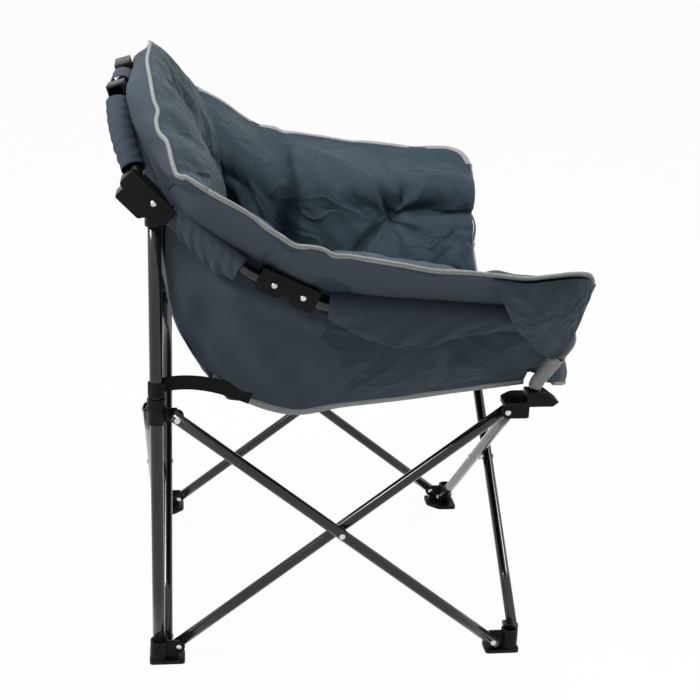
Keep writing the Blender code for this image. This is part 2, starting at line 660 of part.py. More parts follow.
def make_arm(label, side, materials):
    """One arm rail: rear tube, folding knuckle, and front tube bent down into its post."""
    rear_dir = Vector((0, ARM_KNUCKLE_REAR.y - ARM_PIVOT.y, ARM_KNUCKLE_REAR.z - ARM_PIVOT.z)).normalized()
    link_dir = (ARM_KNUCKLE_FRONT - ARM_KNUCKLE_REAR).normalized()
    rear_end = drop_axis(ARM_KNUCKLE_REAR)
    front_end = drop_axis(ARM_KNUCKLE_FRONT)
    bend = RAIL_DIAMETER * 2.5
    rear_points = [ARM_PIVOT - rear_dir * RAIL_OVERHANG, ARM_PIVOT + rear_dir * ARM_STRAIGHT,
                   rear_end - link_dir * ARM_STRAIGHT, rear_end + link_dir * RAIL_OVERHANG]
    rear_path = [mirrored(p, side) for p in rear_points]
    rear = tube("arm_rear_tube_" + label, rounded_path(rear_path, (bend, bend)), RAIL_DIAMETER, RAIL_WALL)
    pin_reach = RAIL_DIAMETER * 1.5
    hole = RAIL_PIN + 2 * FIT_GAP
    cut(rear, through_hole(mirrored(ARM_PIVOT, side), X_AXIS, hole, pin_reach),
        through_hole(mirrored(ARM_KNUCKLE_REAR, side), X_AXIS, hole, pin_reach))
    finish_piece(rear, materials["tube"], mirrored(ARM_PIVOT, side))

    post_top = POST_FOOT + Z_AXIS * POST_STRAIGHT
    front_points = [POST_FOOT, post_top, ARM_CORNER, front_end + link_dir * ARM_STRAIGHT,
                    front_end - link_dir * RAIL_OVERHANG]
    front_path = [mirrored(p, side) for p in front_points]
    radii = (POST_BEND_RADIUS, ARM_CORNER_RADIUS, bend)
    front = tube("arm_front_tube_" + label, rounded_path(front_path, radii), RAIL_DIAMETER, RAIL_WALL)
    cut(front, through_hole(mirrored(ARM_KNUCKLE_FRONT, side), X_AXIS, hole, pin_reach))
    finish_piece(front, materials["tube"], mirrored(ARM_KNUCKLE_FRONT, side))
    make_arm_knuckle(label, side, materials["plastic"])


def make_arm_knuckle(label, side, material):
    """The folding arm joint: a channel closed on top and open below, with a pin for each rail."""
    rear = mirrored(ARM_KNUCKLE_REAR, side)
    front = mirrored(ARM_KNUCKLE_FRONT, side)
    along = (front - rear).normalized()
    up = (Z_AXIS - along * along.z).normalized()
    centre = (rear + front) / 2
    half = (front - rear).length / 2 + KNUCKLE_END
    inside = 2 * (RAIL_RADIUS + SLOT_GAP)
    width = inside + 2 * KNUCKLE_WALL
    top = KNUCKLE_TOP + KNUCKLE_WALL
    outline = [(-half, -KNUCKLE_BOTTOM), (-KNUCKLE_NOTCH, -KNUCKLE_BOTTOM), (-KNUCKLE_NOTCH / 2, -KNUCKLE_TOP),
               (KNUCKLE_NOTCH / 2, -KNUCKLE_TOP), (KNUCKLE_NOTCH, -KNUCKLE_BOTTOM), (half, -KNUCKLE_BOTTOM),
               (half, top), (-half, top)]
    knuckle = extrusion(outline, centre, along, up, X_AXIS, width, KNUCKLE_WALL)
    knuckle.name = "arm_knuckle_" + label
    room = [(-2 * half, -2 * KNUCKLE_BOTTOM), (2 * half, -2 * KNUCKLE_BOTTOM), (2 * half, KNUCKLE_TOP),
            (-2 * half, KNUCKLE_TOP)]
    cut(knuckle, extrusion(room, centre, along, up, X_AXIS, inside))
    reach = X_AXIS * (width / 2 + RAIL_PIN_PROUD)
    for pin in (rear, front):
        union(knuckle, cylinder(pin - reach, pin + reach, RAIL_PIN, HOLE_SIDES))
    return finish_piece(knuckle, material, rear)


def bowed(start, end, rise, steps=6):
    """A gently bowed run between two points, bulging along a direction."""
    shares = [step / steps for step in range(steps + 1)]
    return [start.lerp(end, share) + rise * math.sin(math.pi * share) for share in shares]


def make_back(materials):
    """The back rail: two uprights, two folding elbows and the bar between them."""
    for label, side in SIDES:
        pivot = mirrored(BACK_PIVOT, side)
        elbow = mirrored(BACK_ELBOW, side)
        run = (elbow - pivot).normalized()
        outward = BACK_NORMAL.cross(run)
        outward = outward if outward.z > 0 else -outward
        path = bowed(pivot, elbow, outward * BACK_BOW)
        path = [pivot - run * RAIL_OVERHANG] + path[1:-1] + [elbow + run * RAIL_OVERHANG]
        upright = tube("back_upright_" + label, path, RAIL_DIAMETER, RAIL_WALL)
        cut(upright, through_hole(pivot, BACK_NORMAL, RAIL_PIN + 2 * FIT_GAP, RAIL_DIAMETER),
            through_hole(elbow, BACK_NORMAL, RAIL_PIN + 2 * ELBOW_GAPS[label], RAIL_DIAMETER))
        finish_piece(upright, materials["tube"], pivot)
        make_back_knuckle(label, side, materials["plastic"])
    bar_half = BACK_ELBOW.x - BACK_KNUCKLE_IN + BACK_SOCKET_DEPTH - FIT_GAP
    centre = Vector((0, BACK_ELBOW.y, BACK_ELBOW.z))
    ends = [centre - X_AXIS * bar_half, centre + X_AXIS * bar_half]
    bar = tube("back_top_bar", ends, RAIL_DIAMETER, RAIL_WALL)
    finish_piece(bar, materials["tube"], centre)


def make_back_knuckle(label, side, material):
    """A folding elbow of the back rail: a socket for the top bar and a channel for the upright, open below."""
    elbow = mirrored(BACK_ELBOW, side)
    out = X_AXIS * side
    inside = 2 * (RAIL_RADIUS + SLOT_GAP)
    width = inside + 2 * KNUCKLE_WALL
    outline = [(-BACK_KNUCKLE_IN, -BACK_KNUCKLE_BOTTOM), (BACK_KNUCKLE_OUT, -BACK_KNUCKLE_BOTTOM),
               (BACK_KNUCKLE_OUT, BACK_KNUCKLE_TOP + KNUCKLE_WALL), (-BACK_KNUCKLE_IN, BACK_KNUCKLE_TOP)]
    knuckle = extrusion(outline, elbow, out, BACK_UP, BACK_NORMAL, width, KNUCKLE_WALL)
    knuckle.name = "back_knuckle_" + label
    room = RAIL_END_REACH + SLACK_HOLE_GAP + SLOT_GAP
    slot = [(-room, -3 * room), (4 * room, -3 * room), (4 * room, room), (-room, room)]
    cut(knuckle, extrusion(slot, elbow, out, BACK_UP, BACK_NORMAL, inside))
    mouth = elbow - out * (BACK_KNUCKLE_IN * 1.5)
    floor = elbow - out * (BACK_KNUCKLE_IN - BACK_SOCKET_DEPTH)
    cut(knuckle, cylinder(mouth, floor, RAIL_DIAMETER + 2 * FIT_GAP))
    reach = BACK_NORMAL * (width / 2 + RAIL_PIN_PROUD)
    union(knuckle, cylinder(elbow - reach, elbow + reach, RAIL_PIN, HOLE_SIDES))
    return finish_piece(knuckle, material, elbow)


def pad(name, shape, columns, rows, material, origin):
    """A closed padded panel, whose shape gives the point at two shares, for its front and its back face."""
    bm = bmesh.new()
    for face in (1, -1):
        grid = bmesh.ops.create_grid(bm, x_segments=columns, y_segments=rows, size=0.5)
        for vert in grid["verts"]:
            vert.co = shape(vert.co.x + 0.5, vert.co.y + 0.5, face)
    bmesh.ops.bridge_loops(bm, edges=[e for e in bm.edges if e.is_boundary])
    thing = from_bmesh(name, bm)
    return finish_piece(thing, material, origin, 60.0)


def plump(share):
    """How full a pad is across one direction when its edges are stuffed tight."""
    return max(0.0, 1 - abs(2 * share - 1) ** 3) ** 0.5


def tapered(share, fullness=2.2):
    """How full a pad is across one direction when its edges run thin into a seam."""
    return max(0.0, 1 - abs(2 * share - 1) ** fullness)


def tufts(point, centres):
    """The depth that sewn tufts draw a pad in by at a point."""
    return sum(TUFT_DEPTH * math.exp(-((point - centre).length / TUFT_RADIUS) ** 2) for centre in centres)


def seam_height(y):
    """The height of the seam between the seat and an arm: lowest behind the middle, rising to both ends."""
    return SEAM_LOW + SEAM_RISE * ((y - SEAM_LOW_Y) / SEAM_RUN) ** 2


def seat_edge(across, y):
    """The underside of the seat pad: level across the middle, rising at its sides to the seams."""
    middle = SEAT_UNDERSIDE + SEAT_FRONT_RISE * (SEAT_REAR - y) / (SEAT_REAR - SEAT_FRONT)
    return middle + (seam_height(max(y, ARM_PAD_FRONT)) - middle) * abs(across) ** 3


def seat_point(u, v, face):
    """The seat pad: hung between its side seams, with a rounded front lip and two sewn tufts."""
    x = SEAT_HALF * (2 * u - 1)
    rear = SEAT_REAR - BACK_WRAP * (x / BACK_HALF) ** 2
    y = SEAT_FRONT + (rear - SEAT_FRONT) * v
    under = seat_edge(2 * u - 1, y) - SEAT_LIP_DROP * max(0.0, 1 - v * 6) ** 2
    if face < 0:
        return Vector((x, y, under))
    full = tapered(u, SEAT_FULLNESS) * (plump(v) if v < 0.5 else tapered(v))
    flat = Vector((x, y, 0))
    centres = [Vector((side * SEAT_HALF / 2.4, (SEAT_FRONT + SEAT_REAR) / 2, 0)) for side in (1, -1)]
    return Vector((x, y, under + PAD_EDGE + (SEAT_PAD - PAD_EDGE - tufts(flat, centres)) * full))


def back_middle(u, v):
    """The back pad's middle surface: arched at the top, raked, wrapped forward and flared out into wings."""
    across = 2 * u - 1
    wrap = BACK_WRAP * across ** 2
    bottom = seat_edge(across, SEAT_REAR - wrap)
    top = BACK_TOP - BACK_SHOULDER_DROP * across ** 2
    z = bottom + (top - bottom) * v
    rake = (z - bottom) / (BACK_TOP - bottom)
    x = across * (BACK_HALF + BACK_FLARE * v ** BACK_FLARE_POWER)
    return Vector((x, BACK_FOOT_Y + (BACK_HEAD_Y - BACK_FOOT_Y) * rake - wrap, z))


def back_point(u, v, face):
    """The back pad, with a crown to the front, a flatter rear face and three sewn tufts."""
    middle = back_middle(u, v)
    share = BACK_FRONT_SHARE if face > 0 else 1 - BACK_FRONT_SHARE
    full = plump(u) * (tapered(v) if v < 0.5 else plump(v))
    centres = [back_middle(*place) for place in BACK_TUFTS]
    sewn = tufts(middle, centres) if face > 0 else 0.0
    return middle - Y_AXIS * (face * (PAD_EDGE / 2 + ((BACK_PAD - PAD_EDGE) * share - sewn) * full))


def rail_centre(y):
    """The centre of an arm's rail on the sitter's left, for a place along the chair."""
    link = (ARM_KNUCKLE_FRONT - ARM_KNUCKLE_REAR).normalized()
    start = drop_axis(ARM_KNUCKLE_FRONT) + link * ARM_STRAIGHT
    run = [ARM_PIVOT, drop_axis(ARM_KNUCKLE_REAR), start, ARM_CORNER]
    index = sum(1 for point in run[1:-1] if y < point.y)
    before, after = run[index], run[index + 1]
    return before.lerp(after, (y - before.y) / (after.y - before.y))


def arm_middle(u, v):
    """An arm pad's middle surface on the sitter's left: upright inside the rail, then flared out over it."""
    rear = ARM_PAD_REAR + ARM_PAD_REAR_LEAN * v ** 2
    y = rear + (ARM_PAD_FRONT - rear) * u
    z_top = ARM_PAD_TOP + ARM_PAD_REAR_RISE * math.exp(-u / ARM_PAD_REAR_RUN)
    x_top = ARM_PAD_TOP_X - ARM_PAD_DRAW_IN * (1 - u) ** ARM_PAD_DRAW_POWER
    foot = seam_height(y) + PAD_EDGE + PANEL_SEAT
    rail = rail_centre(y)
    x_rail = rail.x - ARM_PAD_BESIDE_RAIL
    share = (rail.z + ARM_PAD_OVER_RAIL - foot) / (z_top - foot)
    x = ARM_PAD_FOOT_X + (x_rail - ARM_PAD_FOOT_X) * min(v / share, 1.0) ** ARM_PAD_UPRIGHT
    if v > share:
        x += (x_top - x_rail) * ((v - share) / (1 - share)) ** ARM_PAD_FLARE
    return Vector((x, y, foot + (z_top - foot) * v))


def arm_point(u, v, face):
    """An arm pad on the sitter's left, full in the roll over its rail, with one sewn tuft."""
    middle = arm_middle(u, v)
    step = 0.5 / ARM_ROWS
    up = arm_middle(u, min(v + step, 1.0)) - arm_middle(u, max(v - step, 0.0))
    inward = up.cross(Y_AXIS).normalized()
    full = plump(u) * (tapered(v) if v < 0.5 else plump(v))
    depth = ARM_PAD_IN - tufts(middle, [arm_middle(*ARM_TUFT)]) if face > 0 else -ARM_PAD_OUT
    return middle + inward * (face * PAD_EDGE / 2 + depth * full)


def hang(u, v):
    """How far a hanging panel stands off its line: seated at its hems, slack and folded between them."""
    free = min(1.0, 6 * u, 6 * (1 - u), 4 * v)
    fold = math.sin(2 * math.pi * PANEL_FOLDS * u + 3 * v)
    return PANEL_SEAT + free * (PANEL_SLACK + PANEL_FOLD * fold)


def rail_line(y):
    """Where an arm's outer cloth meets the rail on the sitter's left, for a place along the chair."""
    start = drop_axis(ARM_KNUCKLE_FRONT) + (ARM_KNUCKLE_FRONT - ARM_KNUCKLE_REAR).normalized() * ARM_STRAIGHT
    rail = start.lerp(ARM_CORNER, (y - start.y) / (ARM_CORNER.y - start.y))
    rear = min(max((y - PANEL_RAIL_REAR) / (PANEL_RAIL_CLEAR - PANEL_RAIL_REAR), 0.0), 1.0)
    beside = rail.x - RAIL_RADIUS - FIT_GAP - PANEL_THICKNESS
    height = rail.z + max(0.0, y - PANEL_RAIL_REAR) * PANEL_REAR_SLOPE
    inset = PANEL_INSET_X - PANEL_REAR_DRAW * max(0.0, y - ARM_PAD_REAR)
    return Vector((beside + (inset - beside) * rear, y, height))


def side_panel_point(u, v, face):
    """The outer cloth of an arm on the sitter's left, hung in slack folds from the rail to the seat's seam."""
    rear = ARM_PAD_REAR + SIDE_PANEL_LEAN * v ** 2
    y = rear + (SIDE_PANEL_FRONT - rear) * u
    foot = Vector((ARM_PAD_FOOT_X + PAD_EDGE / 2 + PANEL_SEAT, y, seam_height(y) + PAD_EDGE + PANEL_SEAT))
    slack = (hang(u, v) - PANEL_SEAT) * math.sin(math.pi * v)
    return foot.lerp(rail_line(y), v) + X_AXIS * (slack + (PANEL_THICKNESS if face > 0 else 0.0))


def back_panel_point(u, v, face):
    """The outer cloth of the back, hung from the top bar down the pad's rear face."""
    outside = back_point(u, v * BACK_PANEL_ROWS / BACK_ROWS, -1)
    return outside + Y_AXIS * (hang(u, v) + (PANEL_THICKNESS if face > 0 else 0.0))


def make_tub(materials):
    """The padded tub and its outer cloth."""
    seam = Vector((0, BACK_FOOT_Y, SEAT_UNDERSIDE))
    pad("seat_cushion", seat_point, SEAT_COLUMNS, SEAT_ROWS, materials["pad"], seam)
    pad("back_cushion", back_point, BACK_COLUMNS, BACK_ROWS, materials["pad"], seam)
    pad("back_panel", back_panel_point, BACK_COLUMNS, BACK_PANEL_ROWS, materials["shell"], seam)
    for label, side in SIDES:
        origin = Vector((side * ARM_PAD_FOOT_X, ARM_PAD_REAR, seam_height(ARM_PAD_REAR)))
        pad("arm_cushion_" + label, lambda u, v, f: mirrored(arm_point(u, v, f), side),
            ARM_COLUMNS, ARM_ROWS, materials["pad"], origin)
        pad("side_panel_" + label, lambda u, v, f: mirrored(side_panel_point(u, v, f), side),
            ARM_COLUMNS, SIDE_PANEL_ROWS, materials["shell"], origin)


def make_strap(label, side, material):
    """A webbing tie: a loop round the rear leg above the slider, and a tail to the seat's rear corner."""
    leg = Vector((LEG_HALF, LEG_HALF, PIVOT_HIGH + SLIDER_ABOVE + STRAP_RISE))
    radius = LEG_DIAMETER / 2 + STRAP_LOOP_GAP + STRAP_THICKNESS / 2
    path = []
    turns = 18
    for step in range(turns + 1):
        angle = math.radians(-120 + 320 * step / turns)
        path.append(leg + Vector((radius * math.cos(angle), radius * math.sin(angle), 0)))
    tail = Vector((STRAP_TAIL_X, ARM_PAD_REAR - STRAP_WIDTH / 2, seam_height(ARM_PAD_REAR) + STRAP_WIDTH / 2))
    path.append(path[-1].lerp(tail, 0.5))
    path.append(tail)
    bm = bmesh.new()
    rows = []
    for index, point in enumerate(path):
        before = path[max(index - 1, 0)]
        after = path[min(index + 1, len(path) - 1)]
        run = (after - before).normalized()
        out = run.cross(Z_AXIS).normalized() * (STRAP_THICKNESS / 2)
        half = Z_AXIS * (STRAP_WIDTH / 2)
        rows.append([bm.verts.new(mirrored(point + corner, side))
                     for corner in (out + half, out - half, -out - half, -out + half)])
    bm.faces.new(rows[0])
    for lower, upper in zip(rows, rows[1:]):
        for a in range(4):
            b = (a + 1) % 4
            bm.faces.new((lower[a], lower[b], upper[b], upper[a]))
    bm.faces.new(list(reversed(rows[-1])))
    strap = from_bmesh("strap_" + label, bm)
    return finish_piece(strap, material, mirrored(leg, side))


def centre_on_origin():
    """Move the chair along its length so that the middle of its outside box is over the origin."""
    bpy.context.view_layer.update()
    reach = [(thing.matrix_world @ Vector(corner)).y for thing in bpy.data.objects for corner in thing.bound_box]
    shift = -(min(reach) + max(reach)) / 2
    for thing in bpy.data.objects:
        thing.location.y += shift


def main():
    clear_scene()
    materials = make_materials()
    make_frame(materials)
    for label, side in SIDES:
        make_arm(label, side, materials)
        make_strap(label, side, materials["strap"])
    make_back(materials)
    make_tub(materials)
    centre_on_origin()


main()
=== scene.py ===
"""Padded folding camp chair: cloth, bindings, paint and studio, dressed over its solid frame."""

import functools
import json
import math

import bmesh
import bpy
import numpy as np
from mathutils import Matrix, Vector

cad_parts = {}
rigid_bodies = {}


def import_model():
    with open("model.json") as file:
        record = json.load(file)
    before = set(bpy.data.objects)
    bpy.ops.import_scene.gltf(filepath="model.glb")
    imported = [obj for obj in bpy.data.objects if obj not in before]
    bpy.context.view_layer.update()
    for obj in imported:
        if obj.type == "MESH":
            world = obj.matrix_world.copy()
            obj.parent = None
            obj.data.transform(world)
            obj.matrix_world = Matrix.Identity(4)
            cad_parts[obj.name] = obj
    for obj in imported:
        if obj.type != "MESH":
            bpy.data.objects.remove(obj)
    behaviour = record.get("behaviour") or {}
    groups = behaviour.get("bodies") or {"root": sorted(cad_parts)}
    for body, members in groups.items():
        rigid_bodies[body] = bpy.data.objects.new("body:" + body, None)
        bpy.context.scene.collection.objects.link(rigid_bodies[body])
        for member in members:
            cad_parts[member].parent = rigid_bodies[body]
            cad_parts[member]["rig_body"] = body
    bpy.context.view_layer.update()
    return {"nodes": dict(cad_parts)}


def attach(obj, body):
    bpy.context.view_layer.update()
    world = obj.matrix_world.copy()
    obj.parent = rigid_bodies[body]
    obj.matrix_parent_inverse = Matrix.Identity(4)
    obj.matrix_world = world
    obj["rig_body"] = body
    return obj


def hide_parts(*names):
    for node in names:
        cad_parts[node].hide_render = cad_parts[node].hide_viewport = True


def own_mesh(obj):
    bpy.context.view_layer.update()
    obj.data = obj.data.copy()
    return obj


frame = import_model()

bl_info = {
    "name": "Padded Camp Chair",
    "version": (1, 0, 0),
    "blender": (4, 5, 0),
    "location": "View3D > Sidebar > Chair",
    "description": "Dresses a folding camp chair with its padded tub, sleeves, bindings and finishes",
    "category": "Object",
}

# The measured lines below are in the maker's frame, whose rear legs stand at y = 0.275.
SET_BACK = 0.012579
SIDES = {"left": 1, "right": -1}

# Edge of the tub on the sitter's left: from the peak of the back to the notch over the leg, then along the arm.
BACK_EDGE = ((0, .2833, .9030), (.05, .2845, .8985), (.12, .2855, .8920), (.20, .2800, .8777), (.27, .2735, .8580),
             (.30, .2680, .8490), (.33, .2700, .8403), (.355, .2664, .8300), (.385, .2557, .8230), (.41, .2505, .8070),
             (.425, .2470, .7970), (.433, .2430, .7895), (.440, .2331, .7900), (.445, .2130, .7785),
             (.446, .2040, .7735))
ARM_EDGE = ((.446, .2040, .7735), (.449, .1900, .7660), (.451, .1700, .7555),
            (.452, .1500, .7430), (.453, .1300, .7280), (.453, .1120, .7165), (.453, .0950, .7060),
            (.453, .0750, .7035), (.454, .0600, .7010), (.455, .0450, .6940), (.455, .0240, .6920),
            (.457, -.0050, .6880), (.460, -.0400, .6830), (.463, -.0855, .6755), (.465, -.1245, .6740),
            (.465, -.1780, .6685), (.463, -.2080, .6650), (.459, -.2394, .6670), (.450, -.2755, .6680),
            (.437, -.2970, .6630), (.425, -.3070, .6540), (.412, -.3135, .6417))

# Tuft of an arm pad: its shares of the pad's length and height, and its reach.
ARM_TUFT = (.65, .46, .080)

# Outer cloth of a side, station by station from the rear leg to the corner pocket.
SIDE_TOP = ((.446, .2040, .7735), (.449, .1850, .7635), (.453, .1300, .7280), (.454, .0600, .6970),
            (.458, -.0200, .6860), (.463, -.1000, .6750), (.465, -.1800, .6680), (.446, -.2850, .6670))
SIDE_BELLY = ((.2640, .2613, .585), (.284, .205, .555), (.297, .135, .525), (.303, .060, .508), (.306, -.020, .500),
              (.307, -.100, .498), (.305, -.180, .500), (.302, -.268, .508))
SIDE_HEM = ((.2500, .1930, .4530), (.2490, .1608, .4257), (.2480, .1088, .4026), (.2480, .0641, .3957),
            (.2480, .0045, .4062), (.2480, -.0855, .4164), (.2500, -.1605, .4276), (.2550, -.2700, .4440))
FOLD_Y = (.0158, .0875, .1575, .2265)
FOLD_Z = (.5381, .5752, .5899, .6073)
SIDE_PLACES = (.245, .200, .130, .060, -.020, -.100, -.180, -.262)

# Line of the back rail that the outer cloth of the back is drawn over.
BACK_OVER = ((0, .3130, .850), (.10, .3130, .850), (.142, .3115, .851), (.20, .3010, .808), (.250, .2790, .772),
             (.284, .2530, .738))

# Hem and front fold of a corner pocket.
POCKET_HEM = ((.462, -.1484, .6611), (.450, -.1627, .6455), (.430, -.1828, .6146), (.400, -.2091, .5768),
              (.375, -.2354, .5511), (.350, -.2624, .5247), (.338, -.2765, .5144), (.330, -.2895, .5070))
POCKET_FOLD = ((.414, -.3135, .6450), (.406, -.3115, .6223), (.392, -.3108, .5992), (.382, -.3085, .5787),
               (.362, -.3055, .5457), (.343, -.3015, .5240), (.336, -.2975, .5140), (.332, -.2920, .5070))

# Rails that the cloth is sleeved on.
ARM_PIVOT = Vector((.289, .275, .724))
ARM_KNUCKLE_REAR = Vector((.329, .112, .6195))
ARM_KNUCKLE_FRONT = Vector((.329, .072, .6015))
ARM_CORNER = Vector((.374, -.322, .574))
POST_FOOT = Vector((.275, -.2835, .4247))
BACK_PIVOT = Vector((.268, .2965, .750))
BACK_ELBOW = Vector((.142, .326, .8465))

# Outer faces that the arm rail's pins come through, and a pin head's outline as radius and rise.
KNUCKLE_FACE = .3413
BRACKET_FACE = .3040
PIN_HEAD = ((0, .0020), (.0018, .0019), (.0032, .0014), (.0042, .0006), (.0045, 0), (.0045, -.0008), (0, -.0008))

# Relief of stuffed cloth: slow folds, gathers at the seams with their reach and ease, and rays round a tuft.
SLOW_FOLD = .0030
GATHER = .0016
GATHER_REACH = .030
SEAM_EASE = .008
TUFT_RAYS = .0080

# How deep a tuft is pulled in, and how far from it the cloth is held.
TUFT_PULL = .92
TUFT_HELD = .009

# Webbing strap: the middle of its ring, its tail, the ring's radius, and half its depth and width.
STRAP_RING = Vector((.275, .275, .446))
STRAP_TAIL = Vector((.258, .138, .4250))
STRAP_RADIUS = .011
STRAP_HALF = (.0012, .011)

# Stuffing: the push inside a pad, and the frames it is given to settle.
SWELL_PRESSURE = 2.0
SWELL_FRAMES = 20

# Tubes: diameters of the legs and braces, the wall, and the bends and straight ends of the rails.
LEG_DIAMETER = .019
BRACE_DIAMETER = .017
TUBE_WALL = .0012
RAIL_BEND = .0425
RAIL_STRAIGHT = .034
PAST_PIVOT = .007
BEND_STEPS = 8

# Light of the studio: the world's fill, and how much of the floor is plain white to the camera.
FILL_LIGHT = .20
FLOOR_GLOW = .97

# Lamps of the studio: place, aim and power, all of one size.
LAMPS = {"rear": ((-.7, 1.9, 2.5), (0, 0, .55), 56), "front": ((-.5, -2.3, 2.6), (0, 0, .6), 40),
         "overhead": ((.2, -.2, 2.8), (0, 0, .5), 22)}
LAMP_SIZE = .8

# Photograph's camera, in the chair's frame.
CAMERA_PLACE = Vector((-2.1263, .2523, 1.1375))
CAMERA_YAW = -.1308
CAMERA_PITCH = .3273
CAMERA_ROLL = .0367
CAMERA_LENS = 69.97


def length_value(label, about, value):
    """A length that the panel can change."""
    return bpy.props.FloatProperty(name=label, description=about, default=value, unit="LENGTH")


def colour_value(label, about, value):
    """A colour that the panel can change."""
    return bpy.props.FloatVectorProperty(name=label, description=about, subtype="COLOR", size=4, default=value + (1,),
                                         min=0, max=1)


class ChairSizes(bpy.types.PropertyGroup):
    """Sizes of the soft pieces and trims."""

    back_fill: length_value("Back fill", "How far the back pad stands forward", .056)
    arm_fill: length_value("Arm fill", "How far an arm pad stands inward", .044)
    seat_fill: length_value("Seat fill", "Height of the seat pad over its edge", .056)
    pad_edge: length_value("Pad edge", "Thickness of a pad in its bound edge", .005)
    cloth: length_value("Cloth", "Thickness of the lined outer cloth", .0026)
    binding_width: length_value("Binding width", "Width of the grey edge binding", .0138)
    binding_depth: length_value("Binding depth", "Thickness of the folded binding", .0056)
    rail: length_value("Rail diameter", "Diameter of the arm and back rails", .017)
    edge_round: length_value("Moulded edge", "Rounding on the edges of the mouldings", .0007)


class ChairColours(bpy.types.PropertyGroup):
    """Colours of the finishes."""

    cloth: colour_value("Cloth", "Slate blue of the coated cloth", (.021, .038, .052))
    cloth_worn: colour_value("Cloth, rubbed", "Paler slate on rubbed threads", (.037, .060, .077))
    shell: colour_value("Outer cloth", "Deeper blue slate of the outer cloth", (.018, .024, .044))
    shell_worn: colour_value("Outer cloth, rubbed", "Paler blue slate on rubbed threads", (.031, .039, .065))
    binding: colour_value("Binding", "Grey of the edge binding", (.310, .325, .318))
    paint: colour_value("Tube paint", "Black powder paint on the tubes", (.004, .004, .0043))
    moulding: colour_value("Mouldings", "Black of the moulded fittings", (.005, .005, .0053))
    rivet: colour_value("Rivets", "Bright steel of the rivets", (.74, .74, .73))
    webbing: colour_value("Webbing", "Black of the strap webbing", (.007, .0075, .008))


def sizes():
    """The sizes held by the scene."""
    return bpy.context.scene.chair_sizes


def colours():
    """The colours held by the scene."""
    return bpy.context.scene.chair_colours


def span_of(knots, share):
    """The number of the span between rising knots that holds a share."""
    index = 0
    while index < len(knots) - 2 and knots[index + 1] < share:
        index += 1
    return index


class Line:
    """A smooth line through measured points, read by its share of the length."""

    def __init__(self, points):
        self.points = [Vector(point) for point in points]
        reach = [0.0]
        for before, after in zip(self.points, self.points[1:]):
            reach.append(reach[-1] + (after - before).length)
        self.length = reach[-1]
        self.knots = [step / self.length for step in reach]

    def slope(self, index):
        low = max(index - 1, 0)
        high = min(index + 1, len(self.points) - 1)
        return (self.points[high] - self.points[low]) / (self.knots[high] - self.knots[low])

    def at(self, share):
        share = min(max(share, 0.0), 1.0)
        index = span_of(self.knots, share)
        span = self.knots[index + 1] - self.knots[index]
        t = (share - self.knots[index]) / span
        rise = t * t * (3 - 2 * t)
        start = self.slope(index) * (span * t * (1 - t) ** 2)
        end = self.slope(index + 1) * (span * t * t * (1 - t))
        return self.points[index].lerp(self.points[index + 1], rise) + start - end

    def by_knot(self, place):
        """The line read by station number, so that lines with matching stations stay side by side."""
        place = min(max(place, 0.0), len(self.knots) - 1.0)
        index = min(int(place), len(self.knots) - 2)
        share = self.knots[index] + (self.knots[index + 1] - self.knots[index]) * (place - index)
        return self.at(share)


BACK_LINE = Line(BACK_EDGE)
ARM_LINE = Line(ARM_EDGE)
ROW_SHARES = (0.0, .27, .50, .64, 1.0)


def sided(point, side):
    """A point of the sitter's left moved to its own side and into the chair's frame."""
    return Vector((point.x * side, point.y + SET_BACK, point.z))


def ripple(u, v, seed):
    """A calm repeatable unevenness between -1 and 1."""
    total = math.sin(5.1 * u + 3.7 * v + seed) + math.sin(9.7 * u - 6.3 * v + 2.1 * seed)
    return (total + math.sin(15.9 * u + 12.1 * v - 1.3 * seed)) / 3


def finished(name, bm, material, smooth=True):
    """Turn a bmesh into a linked object with outward faces and one material."""
    bmesh.ops.recalc_face_normals(bm, faces=bm.faces)
    mesh = bpy.data.meshes.new(name)
    bm.to_mesh(mesh)
    bm.free()
    mesh.materials.append(material)
    mesh.polygons.foreach_set("use_smooth", [smooth] * len(mesh.polygons))
    piece = bpy.data.objects.new(name, mesh)
    bpy.context.scene.collection.objects.link(piece)
    return piece


def carried(piece, body, slot, *nodes):
    """Fix a piece to the body that carries it and hide the solids it stands for; the slot is not used."""
    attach(piece, body)
    if nodes:
        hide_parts(*nodes)
    return piece


def crumple_back(piece):
    """Give a piece of the back its own copy of its mesh."""
    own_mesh(piece)


def crumple_seat(piece):
    """Give a piece of the seat its own copy of its mesh."""
    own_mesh(piece)


def crumple_side(piece):
    """Give a piece of one side its own copy of its mesh."""
    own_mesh(piece)


def rounder(piece):
    """Finish a soft piece with a surface subdivided once."""
    modifier = piece.modifiers.new("rounding", "SUBSURF")
    modifier.levels = modifier.render_levels = 1


def thicker(piece, depth, offset=0.0):
    """Give a sheet its thickness."""
    modifier = piece.modifiers.new("cloth", "SOLIDIFY")
    modifier.thickness = depth
    modifier.offset = offset
    modifier.use_even_offset = False


def grid(columns, rows, width, height):
    """A flat grid with a weave map in metres."""
    bm = bmesh.new()
    weave = bm.loops.layers.uv.new("weave")
    bmesh.ops.create_grid(bm, x_segments=columns, y_segments=rows, size=.5, calc_uvs=False)
    for face in bm.faces:
        for loop in face.loops:
            loop[weave].uv = ((loop.vert.co.x + .5) * width, (loop.vert.co.y + .5) * height)
    return bm


def cloth_sheet(name, shape, columns, rows, width, height, material):
    """One layer of cloth shaped over a grid."""
    bm = grid(columns, rows, width, height)
    for vert in bm.verts:
        vert.co = shape(vert.co.x + .5, vert.co.y + .5)
    return finished(name, bm, material)


def puff(share, power=3.0, round_off=.5):
    """Fullness of a stuffed pad across its width, none at its seams."""
    return max(0.0, 1 - abs(2 * share - 1) ** power) ** round_off


